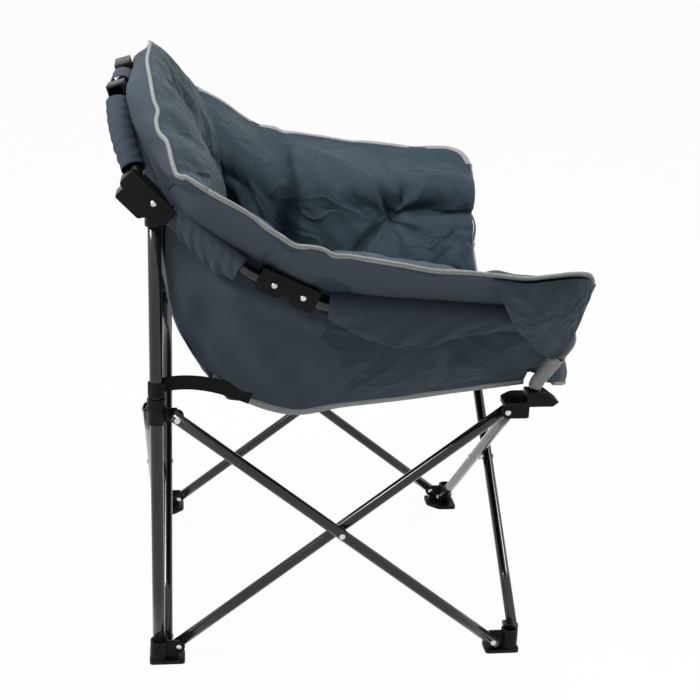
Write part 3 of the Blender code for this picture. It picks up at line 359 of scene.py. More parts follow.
def facing(middle, u, v):
    """The direction that a pad's middle layer faces."""
    step = .01
    across = middle(min(u + step, 1), v) - middle(max(u - step, 0), v)
    up = middle(u, min(v + step, 1)) - middle(u, max(v - step, 0))
    return across.cross(up).normalized()


def creased(u, v, width, height, tufts, seed):
    """Relief of the cloth on a stuffed pad: gathers along its bound edges, rays round its tufts, slow folds."""
    relief = SLOW_FOLD * ripple(2.6 * u * width / .4, 2.2 * v * height / .3, seed)
    for gap, run in ((u * width, v * height), ((1 - u) * width, v * height + 2), (v * height, u * width + 5),
                     ((1 - v) * height, u * width + 9)):
        wave = math.sin(run * 210 + 2.2 * math.sin(run * 37 + seed)) + .6 * math.sin(run * 118 + seed)
        relief += GATHER * wave * math.exp(-gap / GATHER_REACH) * min(gap / SEAM_EASE, 1)
    for tuft_u, tuft_v, radius in tufts:
        over, up = (u - tuft_u) * width, (v - tuft_v) * height
        gap = math.hypot(over, up)
        turn = math.atan2(up, over)
        rays = math.sin(7 * turn + seed) + .6 * math.sin(11 * turn + 2 * seed) + .5 * math.sin(4 * turn - seed)
        relief += TUFT_RAYS * rays * (gap / radius) * math.exp(1 - gap / (.62 * radius)) * .5
    return relief


def stuffed(name, middle, flip, front, rear, columns, rows, width, height, material, tufts=(), seams=(),
            seed=1.0, crown=.7, ends=4.0):
    """A closed pad: two layers of cloth over a middle layer, sewn round the edge, with its held points and fullness."""
    edge = sizes().pad_edge / 2
    bm = grid(columns, rows, width, height)
    places = {vert.index: (vert.co.x + .5, vert.co.y + .5) for vert in bm.verts}
    bm.verts.ensure_lookup_table()
    rim = [edge_line for edge_line in bm.edges if edge_line.is_boundary]
    copy = bmesh.ops.duplicate(bm, geom=bm.verts[:] + bm.edges[:] + bm.faces[:])
    other = {old: new for old, new in copy["vert_map"].items() if isinstance(old, bmesh.types.BMVert)}
    pairs = [(vert, other[vert], places[vert.index]) for vert in bm.verts if vert.index in places and vert in other]
    pairs = pairs[:len(places)]
    held = []
    fullness = {}
    for first, second, (u, v) in pairs:
        out = facing(middle, u, v) * flip
        full = puff(u, ends) * (puff(v) if v < .5 else puff(v, 2.0, crown))
        fullness[first] = fullness[second] = full ** 1.5
        share = 1.0
        for tuft_u, tuft_v, radius in tufts:
            gap = math.hypot((u - tuft_u) * width, (v - tuft_v) * height)
            share = min(share, 1 - TUFT_PULL * math.exp(-(gap / radius) ** 1.4))
            if gap < TUFT_HELD:
                held += [first, second]
        for axis, place, lean, start, end, depth, before, after in seams:
            along, across, size = (v, u, width) if axis == "u" else (u, v, height)
            gap = (across - place + lean * (1 - along)) * size
            fade = min(max((along - start) / .08, 0), 1) * min(max((end - along) / .08, 0), 1)
            share *= 1 - depth * fade * math.exp(-(abs(gap) / (before if gap < 0 else after)) ** 1.5)
        base = middle(u, v)
        relief = creased(u, v, width, height, tufts, seed) * min(full * 2, 1)
        first.co = base + out * (edge + (front - edge) * full * share + relief)
        second.co = base - out * (edge + (rear - edge) * full)
        if u < 1e-4 or v < 1e-4 or u > 1 - 1e-4 or v > 1 - 1e-4:
            held += [first, second]
    rims = rim + [other_edge for other_edge in bm.edges if other_edge.is_boundary and other_edge not in set(rim)]
    bmesh.ops.bridge_loops(bm, edges=rims)
    bm.verts.index_update()
    pinned = sorted({vert.index for vert in held})
    room = np.zeros(len(bm.verts))
    for vert, full in fullness.items():
        room[vert.index] = full
    return finished(name, bm, material), pinned, room


def swell(piece, pinned, room, slack, cap):
    """Blow a sewn pad up as stuffing does, with spare cloth for its creases, and keep the result."""
    scene = bpy.context.scene
    mesh = piece.data
    rest = np.zeros(len(mesh.vertices) * 3)
    mesh.vertices.foreach_get("co", rest)
    rest = rest.reshape(-1, 3)
    sewn = piece.vertex_groups.new(name="sewn")
    sewn.add(pinned, 1.0, "REPLACE")
    cloth = piece.modifiers.new("swell", "CLOTH")
    settings = cloth.settings
    settings.quality = 6
    settings.mass = .3
    settings.air_damping = 2.0
    settings.tension_stiffness = 20
    settings.compression_stiffness = 20
    settings.shear_stiffness = 8
    settings.bending_stiffness = .08
    settings.use_pressure = True
    settings.uniform_pressure_force = SWELL_PRESSURE
    settings.shrink_min = -slack
    settings.vertex_group_mass = "sewn"
    settings.pin_stiffness = 1.0
    settings.effector_weights.gravity = 0
    cloth.collision_settings.use_collision = False
    cloth.point_cache.frame_start = 1
    cloth.point_cache.frame_end = SWELL_FRAMES
    for step in range(1, SWELL_FRAMES + 1):
        scene.frame_set(step)
    shaped = piece.evaluated_get(bpy.context.evaluated_depsgraph_get()).data
    moved = np.zeros(len(shaped.vertices) * 3)
    shaped.vertices.foreach_get("co", moved)
    piece.modifiers.remove(cloth)
    piece.vertex_groups.remove(sewn)
    travel = moved.reshape(-1, 3) - rest
    far = np.linalg.norm(travel, axis=1)
    travel *= (np.minimum(far, cap * room) / np.maximum(far, 1e-9))[:, None]
    mesh.vertices.foreach_set("co", (rest + travel).ravel())
    mesh.update()
    scene.frame_set(1)


def swept(name, path, inward, profile, material, closed_ends=True):
    """A run of one outline along a path; inward says which way the outline's second axis points."""
    count = len(path) - 1
    around = len(profile)
    length = sum((b - a).length for a, b in zip(path, path[1:]))
    girth = sum(math.dist(profile[i], profile[(i + 1) % around]) for i in range(around))
    bm = grid(count, around, length, girth)
    for vert in bm.verts:
        index = round((vert.co.x + .5) * count)
        corner = profile[round((vert.co.y + .5) * around) % around]
        before = path[max(index - 1, 0)]
        after = path[min(index + 1, count)]
        run = (after - before).normalized()
        deep = inward[index] - run * inward[index].dot(run)
        deep.normalize()
        flat = run.cross(deep)
        vert.co = path[index] + flat * corner[0] + deep * corner[1]
    bmesh.ops.remove_doubles(bm, verts=bm.verts, dist=1e-7)
    if closed_ends:
        bmesh.ops.holes_fill(bm, edges=bm.edges, sides=0)
    return finished(name, bm, material)


def oval(wide, deep, sides, offset=0.0, square=1.0):
    """A rounded outline, from an ellipse towards a soft rectangle."""
    points = []
    for step in range(sides):
        angle = 2 * math.pi * step / sides
        c, s = math.cos(angle), math.sin(angle)
        points.append((math.copysign(abs(c) ** square, c) * wide, math.copysign(abs(s) ** square, s) * deep + offset))
    return points


def group(name, inputs, outputs):
    """A fresh shader node group with named sockets."""
    tree = bpy.data.node_groups.new(name, "ShaderNodeTree")
    for label, kind, default in inputs:
        socket = tree.interface.new_socket(name=label, in_out="INPUT", socket_type=kind)
        socket.default_value = default
    for label, kind in outputs:
        tree.interface.new_socket(name=label, in_out="OUTPUT", socket_type=kind)
    return tree, tree.nodes.new("NodeGroupInput"), tree.nodes.new("NodeGroupOutput")


def node(tree, kind, **values):
    """A node with its settings and plain inputs."""
    made = tree.nodes.new(kind)
    for label, value in values.items():
        if hasattr(made, label):
            setattr(made, label, value)
        else:
            made.inputs[label.replace("_", " ")].default_value = value
    return made


def maths(tree, operation, first, second):
    """A sum on two values, each a socket or a number."""
    made = tree.nodes.new("ShaderNodeMath")
    made.operation = operation
    for slot, value in zip(made.inputs, (first, second)):
        if isinstance(value, (int, float)):
            slot.default_value = value
        else:
            tree.links.new(value, slot)
    return made.outputs[0]


def weave_group():
    """Crossing threads on the cloth's own map, with slubs: a height and a thread mask."""
    tree, start, end = group("plain_weave", [("Threads", "NodeSocketFloat", 620.0)],
                             [("Height", "NodeSocketFloat"), ("Thread", "NodeSocketFloat")])
    place = node(tree, "ShaderNodeUVMap", uv_map="weave")
    split = node(tree, "ShaderNodeSeparateXYZ")
    tree.links.new(place.outputs[0], split.inputs[0])
    waves = []
    for axis in (0, 1):
        turn = maths(tree, "MULTIPLY", split.outputs[axis], start.outputs["Threads"])
        turn = maths(tree, "MULTIPLY", turn, 2 * math.pi)
        waves.append(maths(tree, "SINE", turn, 0.0))
    crossed = maths(tree, "MULTIPLY", waves[0], waves[1])
    slub = node(tree, "ShaderNodeTexNoise", Scale=180.0, Detail=3.0)
    tree.links.new(place.outputs[0], slub.inputs["Vector"])
    height = maths(tree, "ADD", maths(tree, "MULTIPLY", crossed, .5), slub.outputs[0])
    tree.links.new(height, end.inputs["Height"])
    thread = maths(tree, "ADD", maths(tree, "MULTIPLY", crossed, .25), maths(tree, "MULTIPLY", slub.outputs[0], .9))
    tree.links.new(thread, end.inputs["Thread"])
    return tree


def cloudy_group():
    """Slow unevenness over a surface: a soft mask and a fine mask."""
    tree, start, end = group("cloudy", [("Size", "NodeSocketFloat", 9.0), ("Fine", "NodeSocketFloat", 120.0)],
                             [("Soft", "NodeSocketFloat"), ("Speckle", "NodeSocketFloat")])
    place = node(tree, "ShaderNodeTexCoord")
    slow = node(tree, "ShaderNodeTexNoise", Detail=4.0, Roughness=.55)
    fine = node(tree, "ShaderNodeTexNoise", Detail=3.0, Roughness=.6)
    for noise, label in ((slow, "Size"), (fine, "Fine")):
        tree.links.new(place.outputs["Object"], noise.inputs["Vector"])
        tree.links.new(start.outputs[label], noise.inputs["Scale"])
    tree.links.new(slow.outputs[0], end.inputs["Soft"])
    tree.links.new(fine.outputs[0], end.inputs["Speckle"])
    return tree


def crease_group():
    """Small creases in worn cloth: thin raised lines that wander over its map."""
    tree, start, end = group("creases", [("Size", "NodeSocketFloat", 11.0)], [("Height", "NodeSocketFloat")])
    place = node(tree, "ShaderNodeUVMap", uv_map="weave")
    wander = node(tree, "ShaderNodeTexNoise", Detail=2.0, Roughness=.45, Distortion=1.1)
    tree.links.new(place.outputs[0], wander.inputs["Vector"])
    tree.links.new(start.outputs["Size"], wander.inputs["Scale"])
    swing = maths(tree, "ABSOLUTE", maths(tree, "SUBTRACT", wander.outputs[0], .5), 0.0)
    line = maths(tree, "SUBTRACT", 1.0, maths(tree, "MINIMUM", maths(tree, "MULTIPLY", swing, 4.0), 1.0))
    tree.links.new(maths(tree, "POWER", line, 2.2), end.inputs["Height"])
    return tree


def wear_group():
    """Rubbed edges: a mask that is strong on sharp outer edges and broken up along them."""
    tree, start, end = group("edge_wear", [("Sharpness", "NodeSocketFloat", 14.0)], [("Worn", "NodeSocketFloat")])
    shape = node(tree, "ShaderNodeNewGeometry")
    place = node(tree, "ShaderNodeTexCoord")
    scuff = node(tree, "ShaderNodeTexNoise", Scale=160.0, Detail=5.0)
    tree.links.new(place.outputs["Object"], scuff.inputs["Vector"])
    proud = maths(tree, "SUBTRACT", shape.outputs["Pointiness"], .53)
    proud = maths(tree, "MULTIPLY", proud, start.outputs["Sharpness"])
    broken = maths(tree, "MULTIPLY", proud, scuff.outputs[0])
    capped = maths(tree, "MINIMUM", maths(tree, "MAXIMUM", broken, 0.0), 1.0)
    tree.links.new(capped, end.inputs["Worn"])
    return tree


def placed(tree, made, **values):
    """A shared node group set into a material with its own values."""
    found = tree.nodes.new("ShaderNodeGroup")
    found.node_tree = bpy.data.node_groups[made]
    for label, value in values.items():
        found.inputs[label].default_value = value
    return found


def new_material(name):
    """A material with its surface shader."""
    material = bpy.data.materials.new(name)
    material.use_nodes = True
    tree = material.node_tree
    return material, tree, tree.nodes["Principled BSDF"]


def settled(shader, **values):
    """Plain values for a shader's inputs."""
    for label, value in values.items():
        shader.inputs[label.replace("_", " ")].default_value = value


def shade(colour, share):
    """A lighter or darker colour."""
    return tuple(min(channel * share, 1) for channel in colour[:3]) + (1,)


def ramp(tree, value, low, high):
    """A value spread over a plain range."""
    spread = tree.nodes.new("ShaderNodeMapRange")
    settled(spread, From_Min=.3, From_Max=.7, To_Min=low, To_Max=high)
    tree.links.new(value, spread.inputs["Value"])
    return spread.outputs[0]


def tinted(tree, value, first, second):
    """A colour between two, by a mask."""
    mix = tree.nodes.new("ShaderNodeMix")
    mix.data_type = "RGBA"
    settled(mix, A=first, B=second)
    tree.links.new(value, mix.inputs["Factor"])
    return mix.outputs["Result"]


def raised(tree, shader, height, strength, distance, under=None):
    """Relief from a height, over a coarser relief where there is one."""
    bump = tree.nodes.new("ShaderNodeBump")
    settled(bump, Strength=strength, Distance=distance)
    tree.links.new(height, bump.inputs["Height"])
    if under:
        tree.links.new(under, bump.inputs["Normal"])
    tree.links.new(bump.outputs[0], shader.inputs["Normal"])
    return bump.outputs[0]


def coated_cloth(name, plain, worn):
    """Slate coated cloth: plain weave, a soft sheen and rubbed threads."""
    material, tree, shader = new_material(name)
    weave = placed(tree, "plain_weave", Threads=560.0)
    cloud = placed(tree, "cloudy", Size=7.0, Fine=90.0)
    mask = maths(tree, "ADD", maths(tree, "MULTIPLY", weave.outputs["Thread"], .45),
                 maths(tree, "MULTIPLY", cloud.outputs["Soft"], .55))
    spread = ramp(tree, mask, 0.0, 1.0)
    tree.links.new(tinted(tree, spread, plain, worn), shader.inputs["Base Color"])
    tree.links.new(ramp(tree, cloud.outputs["Speckle"], .50, .66), shader.inputs["Roughness"])
    settled(shader, Sheen_Weight=.03, Sheen_Roughness=.45, Specular_IOR_Level=.13)
    creases = placed(tree, "creases", Size=11.0)
    soft = raised(tree, shader, creases.outputs["Height"], .55, .006)
    raised(tree, shader, weave.outputs["Height"], .35, .0006, soft)
    return material


def bound_edge():
    """Grey ribbed binding."""
    material, tree, shader = new_material("grey_binding")
    weave = placed(tree, "plain_weave", Threads=900.0)
    cloud = placed(tree, "cloudy", Size=30.0, Fine=300.0)
    dark, pale = shade(colours().binding, .78), shade(colours().binding, 1.18)
    mask = maths(tree, "ADD", maths(tree, "MULTIPLY", weave.outputs["Thread"], .6),
                 maths(tree, "MULTIPLY", cloud.outputs["Soft"], .4))
    tree.links.new(tinted(tree, ramp(tree, mask, 0.0, 1.0), dark, pale), shader.inputs["Base Color"])
    tree.links.new(ramp(tree, cloud.outputs["Speckle"], .7, .85), shader.inputs["Roughness"])
    settled(shader, Sheen_Weight=.15)
    raised(tree, shader, weave.outputs["Height"], .5, .0006)
    return material


def strap_webbing():
    """Black webbing with a heavy weave."""
    material, tree, shader = new_material("black_webbing")
    weave = placed(tree, "plain_weave", Threads=420.0)
    cloud = placed(tree, "cloudy", Size=25.0, Fine=250.0)
    spread = ramp(tree, weave.outputs["Thread"], 0.0, 1.0)
    pale = shade(colours().webbing, 2.0)
    tree.links.new(tinted(tree, spread, colours().webbing, pale), shader.inputs["Base Color"])
    tree.links.new(ramp(tree, cloud.outputs["Speckle"], .6, .8), shader.inputs["Roughness"])
    settled(shader, Sheen_Weight=.05, Specular_IOR_Level=.10)
    raised(tree, shader, weave.outputs["Height"], .7, .0009)
    return material


def tube_paint():
    """Gloss black powder paint with a faint orange-peel and scuffed edges."""
    material, tree, shader = new_material("black_paint")
    cloud = placed(tree, "cloudy", Size=14.0, Fine=420.0)
    wear = placed(tree, "edge_wear", Sharpness=9.0)
    grey = (.10, .10, .10, 1)
    tree.links.new(tinted(tree, wear.outputs["Worn"], colours().paint, grey), shader.inputs["Base Color"])
    tree.links.new(ramp(tree, cloud.outputs["Soft"], .12, .20), shader.inputs["Roughness"])
    settled(shader, Specular_IOR_Level=.30, Coat_Weight=.45, Coat_Roughness=.08)
    raised(tree, shader, cloud.outputs["Speckle"], .10, .0004)
    return material


def moulded_black():
    """Fine-grained black moulding, rubbed paler on its edges."""
    material, tree, shader = new_material("black_moulding")
    cloud = placed(tree, "cloudy", Size=20.0, Fine=900.0)
    wear = placed(tree, "edge_wear", Sharpness=11.0)
    pale = shade(colours().moulding, 5.0)
    tree.links.new(tinted(tree, wear.outputs["Worn"], colours().moulding, pale), shader.inputs["Base Color"])
    tree.links.new(ramp(tree, cloud.outputs["Soft"], .30, .44), shader.inputs["Roughness"])
    settled(shader, Specular_IOR_Level=.13)
    raised(tree, shader, cloud.outputs["Speckle"], .25, .0004)
    return material


def bright_rivet():
    """Bright steel with fine handling marks."""
    material, tree, shader = new_material("bright_rivet")
    cloud = placed(tree, "cloudy", Size=60.0, Fine=700.0)
    dull = shade(colours().rivet, .7)
    spread = ramp(tree, cloud.outputs["Soft"], 0.0, 1.0)
    tree.links.new(tinted(tree, spread, colours().rivet, dull), shader.inputs["Base Color"])
    tree.links.new(ramp(tree, cloud.outputs["Speckle"], .18, .36), shader.inputs["Roughness"])
    settled(shader, Metallic=1.0)
    raised(tree, shader, cloud.outputs["Speckle"], .08, .0003)
    return material


def finish(name):
    """A finish of the chair, made on its first use."""
    makers = {"slate_cloth": lambda: coated_cloth("slate_cloth", colours().cloth, colours().cloth_worn),
              "shell_cloth": lambda: coated_cloth("shell_cloth", colours().shell, colours().shell_worn),
              "grey_binding": bound_edge, "black_webbing": strap_webbing, "black_paint": tube_paint,
              "black_moulding": moulded_black, "bright_rivet": bright_rivet}
    groups = {"plain_weave": weave_group, "cloudy": cloudy_group, "edge_wear": wear_group, "creases": crease_group}
    for label, maker in groups.items():
        if label not in bpy.data.node_groups:
            maker()
    return bpy.data.materials.get(name) or makers[name]()


def body_of(node_name):
    """The body that carries a solid."""
    return frame["nodes"][node_name]["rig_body"]


def softened(node_name, material, width):
    """A copy of a solid with its edges eased, standing for it."""
    bm = bmesh.new()
    bm.from_mesh(frame["nodes"][node_name].data)
    bmesh.ops.remove_doubles(bm, verts=bm.verts, dist=1e-6)
    bmesh.ops.dissolve_limit(bm, angle_limit=math.radians(1.0), verts=bm.verts, edges=bm.edges)
    sharp = [line for line in bm.edges if line.is_manifold and line.calc_face_angle(0.0) > math.radians(40)]
    bmesh.ops.bevel(bm, geom=sharp, offset=width, offset_type="OFFSET", segments=2, profile=.5, affect="EDGES",
                    clamp_overlap=True, material=-1)
    piece = finished(node_name + "_eased", bm, material)
    piece.data.set_sharp_from_angle(angle=math.radians(32))
    return piece


def straight_run(node_name):
    """The two ends of a straight tube, read from its solid."""
    points = np.array([vert.co for vert in frame["nodes"][node_name].data.vertices], float)
    middle = (points.min(0) + points.max(0)) / 2
    axis = np.linalg.svd(points - points.mean(0), full_matrices=False)[2][0]
    reach = (points - middle) @ axis
    return Vector(middle + axis * reach.min()), Vector(middle + axis * reach.max())


def bent_path(points, radii):
    """A run of straight lengths with rounded corners."""
    path = [points[0]]
    for before, corner, after, radius in zip(points, points[1:], points[2:], radii):
        back = (before - corner).normalized()
        ahead = (after - corner).normalized()
        half = back.angle(ahead) / 2
        trim = radius / math.tan(half)
        centre = corner + (back + ahead).normalized() * (radius / math.sin(half))
        first = (corner + back * trim - centre).normalized()
        last = (corner + ahead * trim - centre).normalized()
        path += [centre + first.slerp(last, step / BEND_STEPS) * radius for step in range(BEND_STEPS + 1)]
    path.append(points[-1])
    return path


def round_tube(name, path, diameter, material):
    """A painted tube with an open rolled end, swept along its path."""
    out = diameter / 2
    count = len(path)
    ahead = path[1] - path[0]
    reference = Vector((0, 1, 0)) if abs(ahead.normalized().z) > .9 else Vector((0, 0, 1))
    profile = oval(out, out, 28)
    piece = swept(name, path, [reference] * count, profile, material, closed_ends=False)
    thicker(piece, TUBE_WALL, -1.0)
    return piece


def arm_rails(side):
    """The centre lines of an arm's rear and front tubes on one side."""
    link = (ARM_KNUCKLE_FRONT - ARM_KNUCKLE_REAR).normalized()
    fall = Vector((0, ARM_KNUCKLE_REAR.y - ARM_PIVOT.y, ARM_KNUCKLE_REAR.z + .004 - ARM_PIVOT.z)).normalized()
    rear = [ARM_PIVOT - fall * PAST_PIVOT, ARM_PIVOT + fall * RAIL_STRAIGHT, ARM_KNUCKLE_REAR - link * RAIL_STRAIGHT,
            ARM_KNUCKLE_REAR + link * PAST_PIVOT]
    front = [POST_FOOT, POST_FOOT + Vector((0, 0, .024)), ARM_CORNER, ARM_KNUCKLE_FRONT + link * RAIL_STRAIGHT,
             ARM_KNUCKLE_FRONT - link * PAST_PIVOT]
    rear = bent_path([sided(point, side) for point in rear], (RAIL_BEND, RAIL_BEND))
    front = bent_path([sided(point, side) for point in front], (.030, .045, RAIL_BEND))
    return rear, front


def back_rail(side):
    """The centre line of a back upright on one side."""
    rake = math.atan2(BACK_ELBOW.y - BACK_PIVOT.y, BACK_ELBOW.z - BACK_PIVOT.z)
    normal = Vector((0, math.cos(rake), -math.sin(rake)))
    run = (BACK_ELBOW - BACK_PIVOT).normalized()
    out = normal.cross(run)
    out = out if out.z > 0 else -out
    shares = [step / 6 for step in range(7)]
    path = [BACK_PIVOT.lerp(BACK_ELBOW, share) + out * (.006 * math.sin(math.pi * share)) for share in shares]
    path = [BACK_PIVOT - run * PAST_PIVOT] + path[1:-1] + [BACK_ELBOW + run * PAST_PIVOT]
    return [sided(point, side) for point in path]


def stretch(path, start, end, count):
    """An even run of points along part of a path."""
    line = Line(path)
    return [line.at(start + (end - start) * step / count) for step in range(count + 1)]


class CHAIR_OT_tubes(bpy.types.Operator):
    """Draw the painted tubes round and smooth"""

    bl_idname = "chair.tubes"
    bl_label = "Tubes"

    def execute(self, context):
        paint = finish("black_paint")
        straight = [name for name in frame["nodes"] if "leg_" in name or "brace" in name or name == "back_top_bar"]
        for name in straight:
            size = LEG_DIAMETER if "leg_" in name else BRACE_DIAMETER
            ends = straight_run(name)
            path = [ends[0].lerp(ends[1], step / 6) for step in range(7)]
            carried(round_tube(name + "_tube", path, size, paint), body_of(name), "tube_paint", name)
        for label, side in SIDES.items():
            rear, front = arm_rails(side)
            for kind, path in (("arm_rear_tube_", rear), ("arm_front_tube_", front)):
                piece = round_tube(kind + label + "_round", path, sizes().rail, paint)
                carried(piece, kind + label, "tube_paint", kind + label)
            piece = round_tube("back_upright_" + label + "_round", back_rail(side), sizes().rail, paint)
            carried(piece, "back_upright_" + label, "tube_paint", "back_upright_" + label)
        return {"FINISHED"}


class CHAIR_OT_mouldings(bpy.types.Operator):
    """Ease the edges of the moulded feet, sliders, brackets and knuckles"""

    bl_idname = "chair.mouldings"
    bl_label = "Mouldings"

    def execute(self, context):
        black = finish("black_moulding")
        kinds = ("foot", "slider", "bracket", "knuckle")
        for name in frame["nodes"]:
            if any(kind in name for kind in kinds) and "rivet" not in name:
                carried(softened(name, black, sizes().edge_round), body_of(name), "moulding", name)
        return {"FINISHED"}


class CHAIR_OT_rivets(bpy.types.Operator):
    """Round the heads of the bright rivets"""

    bl_idname = "chair.rivets"
    bl_label = "Rivets"

    def execute(self, context):
        bright = finish("bright_rivet")
        for name in frame["nodes"]:
            if "rivet" in name:
                carried(softened(name, bright, .0006), body_of(name), "rivet", name)
        return {"FINISHED"}


class CHAIR_OT_pins(bpy.types.Operator):
    """Close the outer ends of the arm rail's pins with bright heads"""

    bl_idname = "chair.pins"
    bl_label = "Pins"

    def execute(self, context):
        ends = {"arm_knuckle_": (KNUCKLE_FACE, (ARM_KNUCKLE_REAR, ARM_KNUCKLE_FRONT)),
                "top_bracket_": (BRACKET_FACE, (ARM_PIVOT,))}
        for label, side in SIDES.items():
            for fitting, (face, pins) in ends.items():
                bm = bmesh.new()
                for pin in pins:
                    centre = sided(Vector((face, pin.y, pin.z)), side)
                    verts = [bm.verts.new(centre + Vector((side * rise, 0, reach))) for reach, rise in PIN_HEAD]
                    lines = [bm.edges.new(pair) for pair in zip(verts, verts[1:])]
                    bmesh.ops.spin(bm, geom=verts + lines, cent=centre, axis=(1, 0, 0), angle=2 * math.pi, steps=24)
                bmesh.ops.remove_doubles(bm, verts=bm.verts, dist=1e-6)
                piece = finished(fitting + "pin_heads_" + label, bm, finish("bright_rivet"))
                carried(piece, body_of(fitting + label), "rivet")
        return {"FINISHED"}


def rail_at(y):
    """The centre of an arm's rail for a place along the chair."""
    link = (ARM_KNUCKLE_FRONT - ARM_KNUCKLE_REAR).normalized()
    run = [ARM_PIVOT, ARM_KNUCKLE_REAR, ARM_KNUCKLE_FRONT + link * RAIL_STRAIGHT, ARM_CORNER]
    index = sum(1 for point in run[1:-1] if y < point.y)
    before, after = run[index], run[index + 1]
    return before.lerp(after, (y - before.y) / (after.y - before.y))


def beside_knuckle(y):
    """How near a place along the chair is to the arm's knuckle, which the cloth keeps clear of."""
    return math.exp(-((y - .092) / .055) ** 4)


def seat_sag(y):
    """Height of the seat's side seam along the chair."""
    return .409 + .030 * ((y - .037) / .252) ** 2


def at_knots(column, share):
    """A place on a smooth column, whose rows each have their own height share."""
    index = span_of(ROW_SHARES, share)
    step = (share - ROW_SHARES[index]) / (ROW_SHARES[index + 1] - ROW_SHARES[index])
    return column.by_knot(index + step)


@functools.lru_cache(maxsize=None)
def arm_column(u):
    """The rows of an arm pad's middle layer: seam, belly, fold inside the rail, turn over the rail, edge."""
    top = ARM_LINE.at(u)
    along = (ARM_EDGE[0][1] - top.y) / (ARM_EDGE[0][1] - ARM_EDGE[-1][1])
    y = .160 - .462 * along
    foot = Vector((.246 + .004 * max(0.0, 1 - 4 * along), y, seat_sag(y) + .008))
    fold_y = y + (top.y - y) * .62
    rail = rail_at(fold_y)
    knuckle = beside_knuckle(fold_y)
    fold = Vector((rail.x - .023 - .006 * knuckle, fold_y, rail.z - .013))
    turn = Vector((rail.x - .012 - .006 * knuckle, y + (top.y - y) * .75, rail.z + .029))
    fold.y += .006 * along ** 6
    belly = foot.lerp(fold, .52)
    belly.x = foot.x + (fold.x - foot.x) * .60
    return Line([foot, belly, fold, turn, top])


def arm_layer(label):
    """Middle layer of an arm pad, from the seat's side seam to the tub's edge."""
    side = SIDES[label]

    def middle(u, v):
        return sided(at_knots(arm_column(round(u, 5)), v), side)
    return middle


@functools.lru_cache(maxsize=None)
def back_column(reach):
    """The rows of the back pad's middle layer at a share of the way from the middle to a wing."""
    wing = arm_column(0.0).points
    wide = reach ** 2
    spine = [Vector((0, .209, .419)), Vector((0, .240, .555)), Vector((0, .262, .680)), Vector((0, .271, .765))]
    rows = []
    for centre, outer in zip(spine, wing):
        row = centre.lerp(outer, wide)
        row.x = outer.x * reach
        rows.append(row)
    return Line(rows + [BACK_LINE.at(reach)])


def back_middle(u, v):
    """Middle layer of the back pad, from the seat's rear seam to the tub's edge."""
    across = 2 * u - 1
    return sided(at_knots(back_column(round(abs(across), 5)), v), 1 if across > 0 else -1)


def seat_middle(u, v):
    """Middle layer of the seat pad, its front corners rounded off."""
    across = 2 * u - 1
    rear = .211 - .040 * across ** 2
    front = -.366 + .056 * abs(across) ** 6
    y = front + (rear - front) * v
    sag = seat_sag(max(y, -.305))
    flat = .413 + .014 * (1 - v)
    z = flat + (sag - flat) * abs(across) ** 3 + .008 * (1 - v) ** 4 - .034 * max(0.0, 1 - v / .10) ** 2
    return Vector((.243 * across, y + SET_BACK, z))


class CHAIR_OT_back_pad(bpy.types.Operator):
    """Sew and stuff the back pad"""

    bl_idname = "chair.back_pad"
    bl_label = "Back pad"

    def execute(self, context):
        tufts = ((.5, .60, .055), (.27, .40, .055), (.73, .40, .055))
        seams = (("u", .5, 0, .62, 1.1, .35, .022, .022),)
        piece, pinned, room = stuffed("back_pad", back_middle, 1, sizes().back_fill, .010, 84, 66, .88, .47,
                                      finish("slate_cloth"), tufts, seams, 1.7)
        swell(piece, pinned, room, .07, .008)
        rounder(piece)
        carried(piece, "back_top", "pad_cloth", "back_cushion")
        crumple_back(piece)
        return {"FINISHED"}


class CHAIR_OT_arm_pads(bpy.types.Operator):
    """Sew and stuff the arm pads"""

    bl_idname = "chair.arm_pads"
    bl_label = "Arm pads"

    def execute(self, context):
        for label, side in SIDES.items():
            seams = (("u", .325, .10, .10, 1.2, .90, .060, .010), ("v", .47, 0, .66, 1.1, .40, .014, .022),
                     ("v", .88, 0, .56, 1.1, .90, .062, .060))
            piece, pinned, room = stuffed("arm_pad_" + label, arm_layer(label), side, sizes().arm_fill, .009, 92, 48,
                                          .60, .33, finish("slate_cloth"), (ARM_TUFT,), seams, 2.4 + side, crown=1.7,
                                          ends=6.0)
            swell(piece, pinned, room, .07, .012)
            rounder(piece)
            carried(piece, "rear_" + label, "pad_cloth", "arm_cushion_" + label)
            crumple_side(piece)
        return {"FINISHED"}


class CHAIR_OT_seat_pad(bpy.types.Operator):
    """Sew and stuff the seat pad"""

    bl_idname = "chair.seat_pad"
    bl_label = "Seat pad"

    def execute(self, context):
        tufts = ((.3, .62, .050), (.7, .62, .050), (.5, .33, .050))
        piece, pinned, room = stuffed("seat_pad", seat_middle, 1, sizes().seat_fill, .006, 66, 76, .49, .57,
                                      finish("slate_cloth"), tufts, (), 3.1)
        swell(piece, pinned, room, .06, .012)
        rounder(piece)
        carried(piece, "seat", "pad_cloth", "seat_cushion")
        crumple_seat(piece)
        return {"FINISHED"}


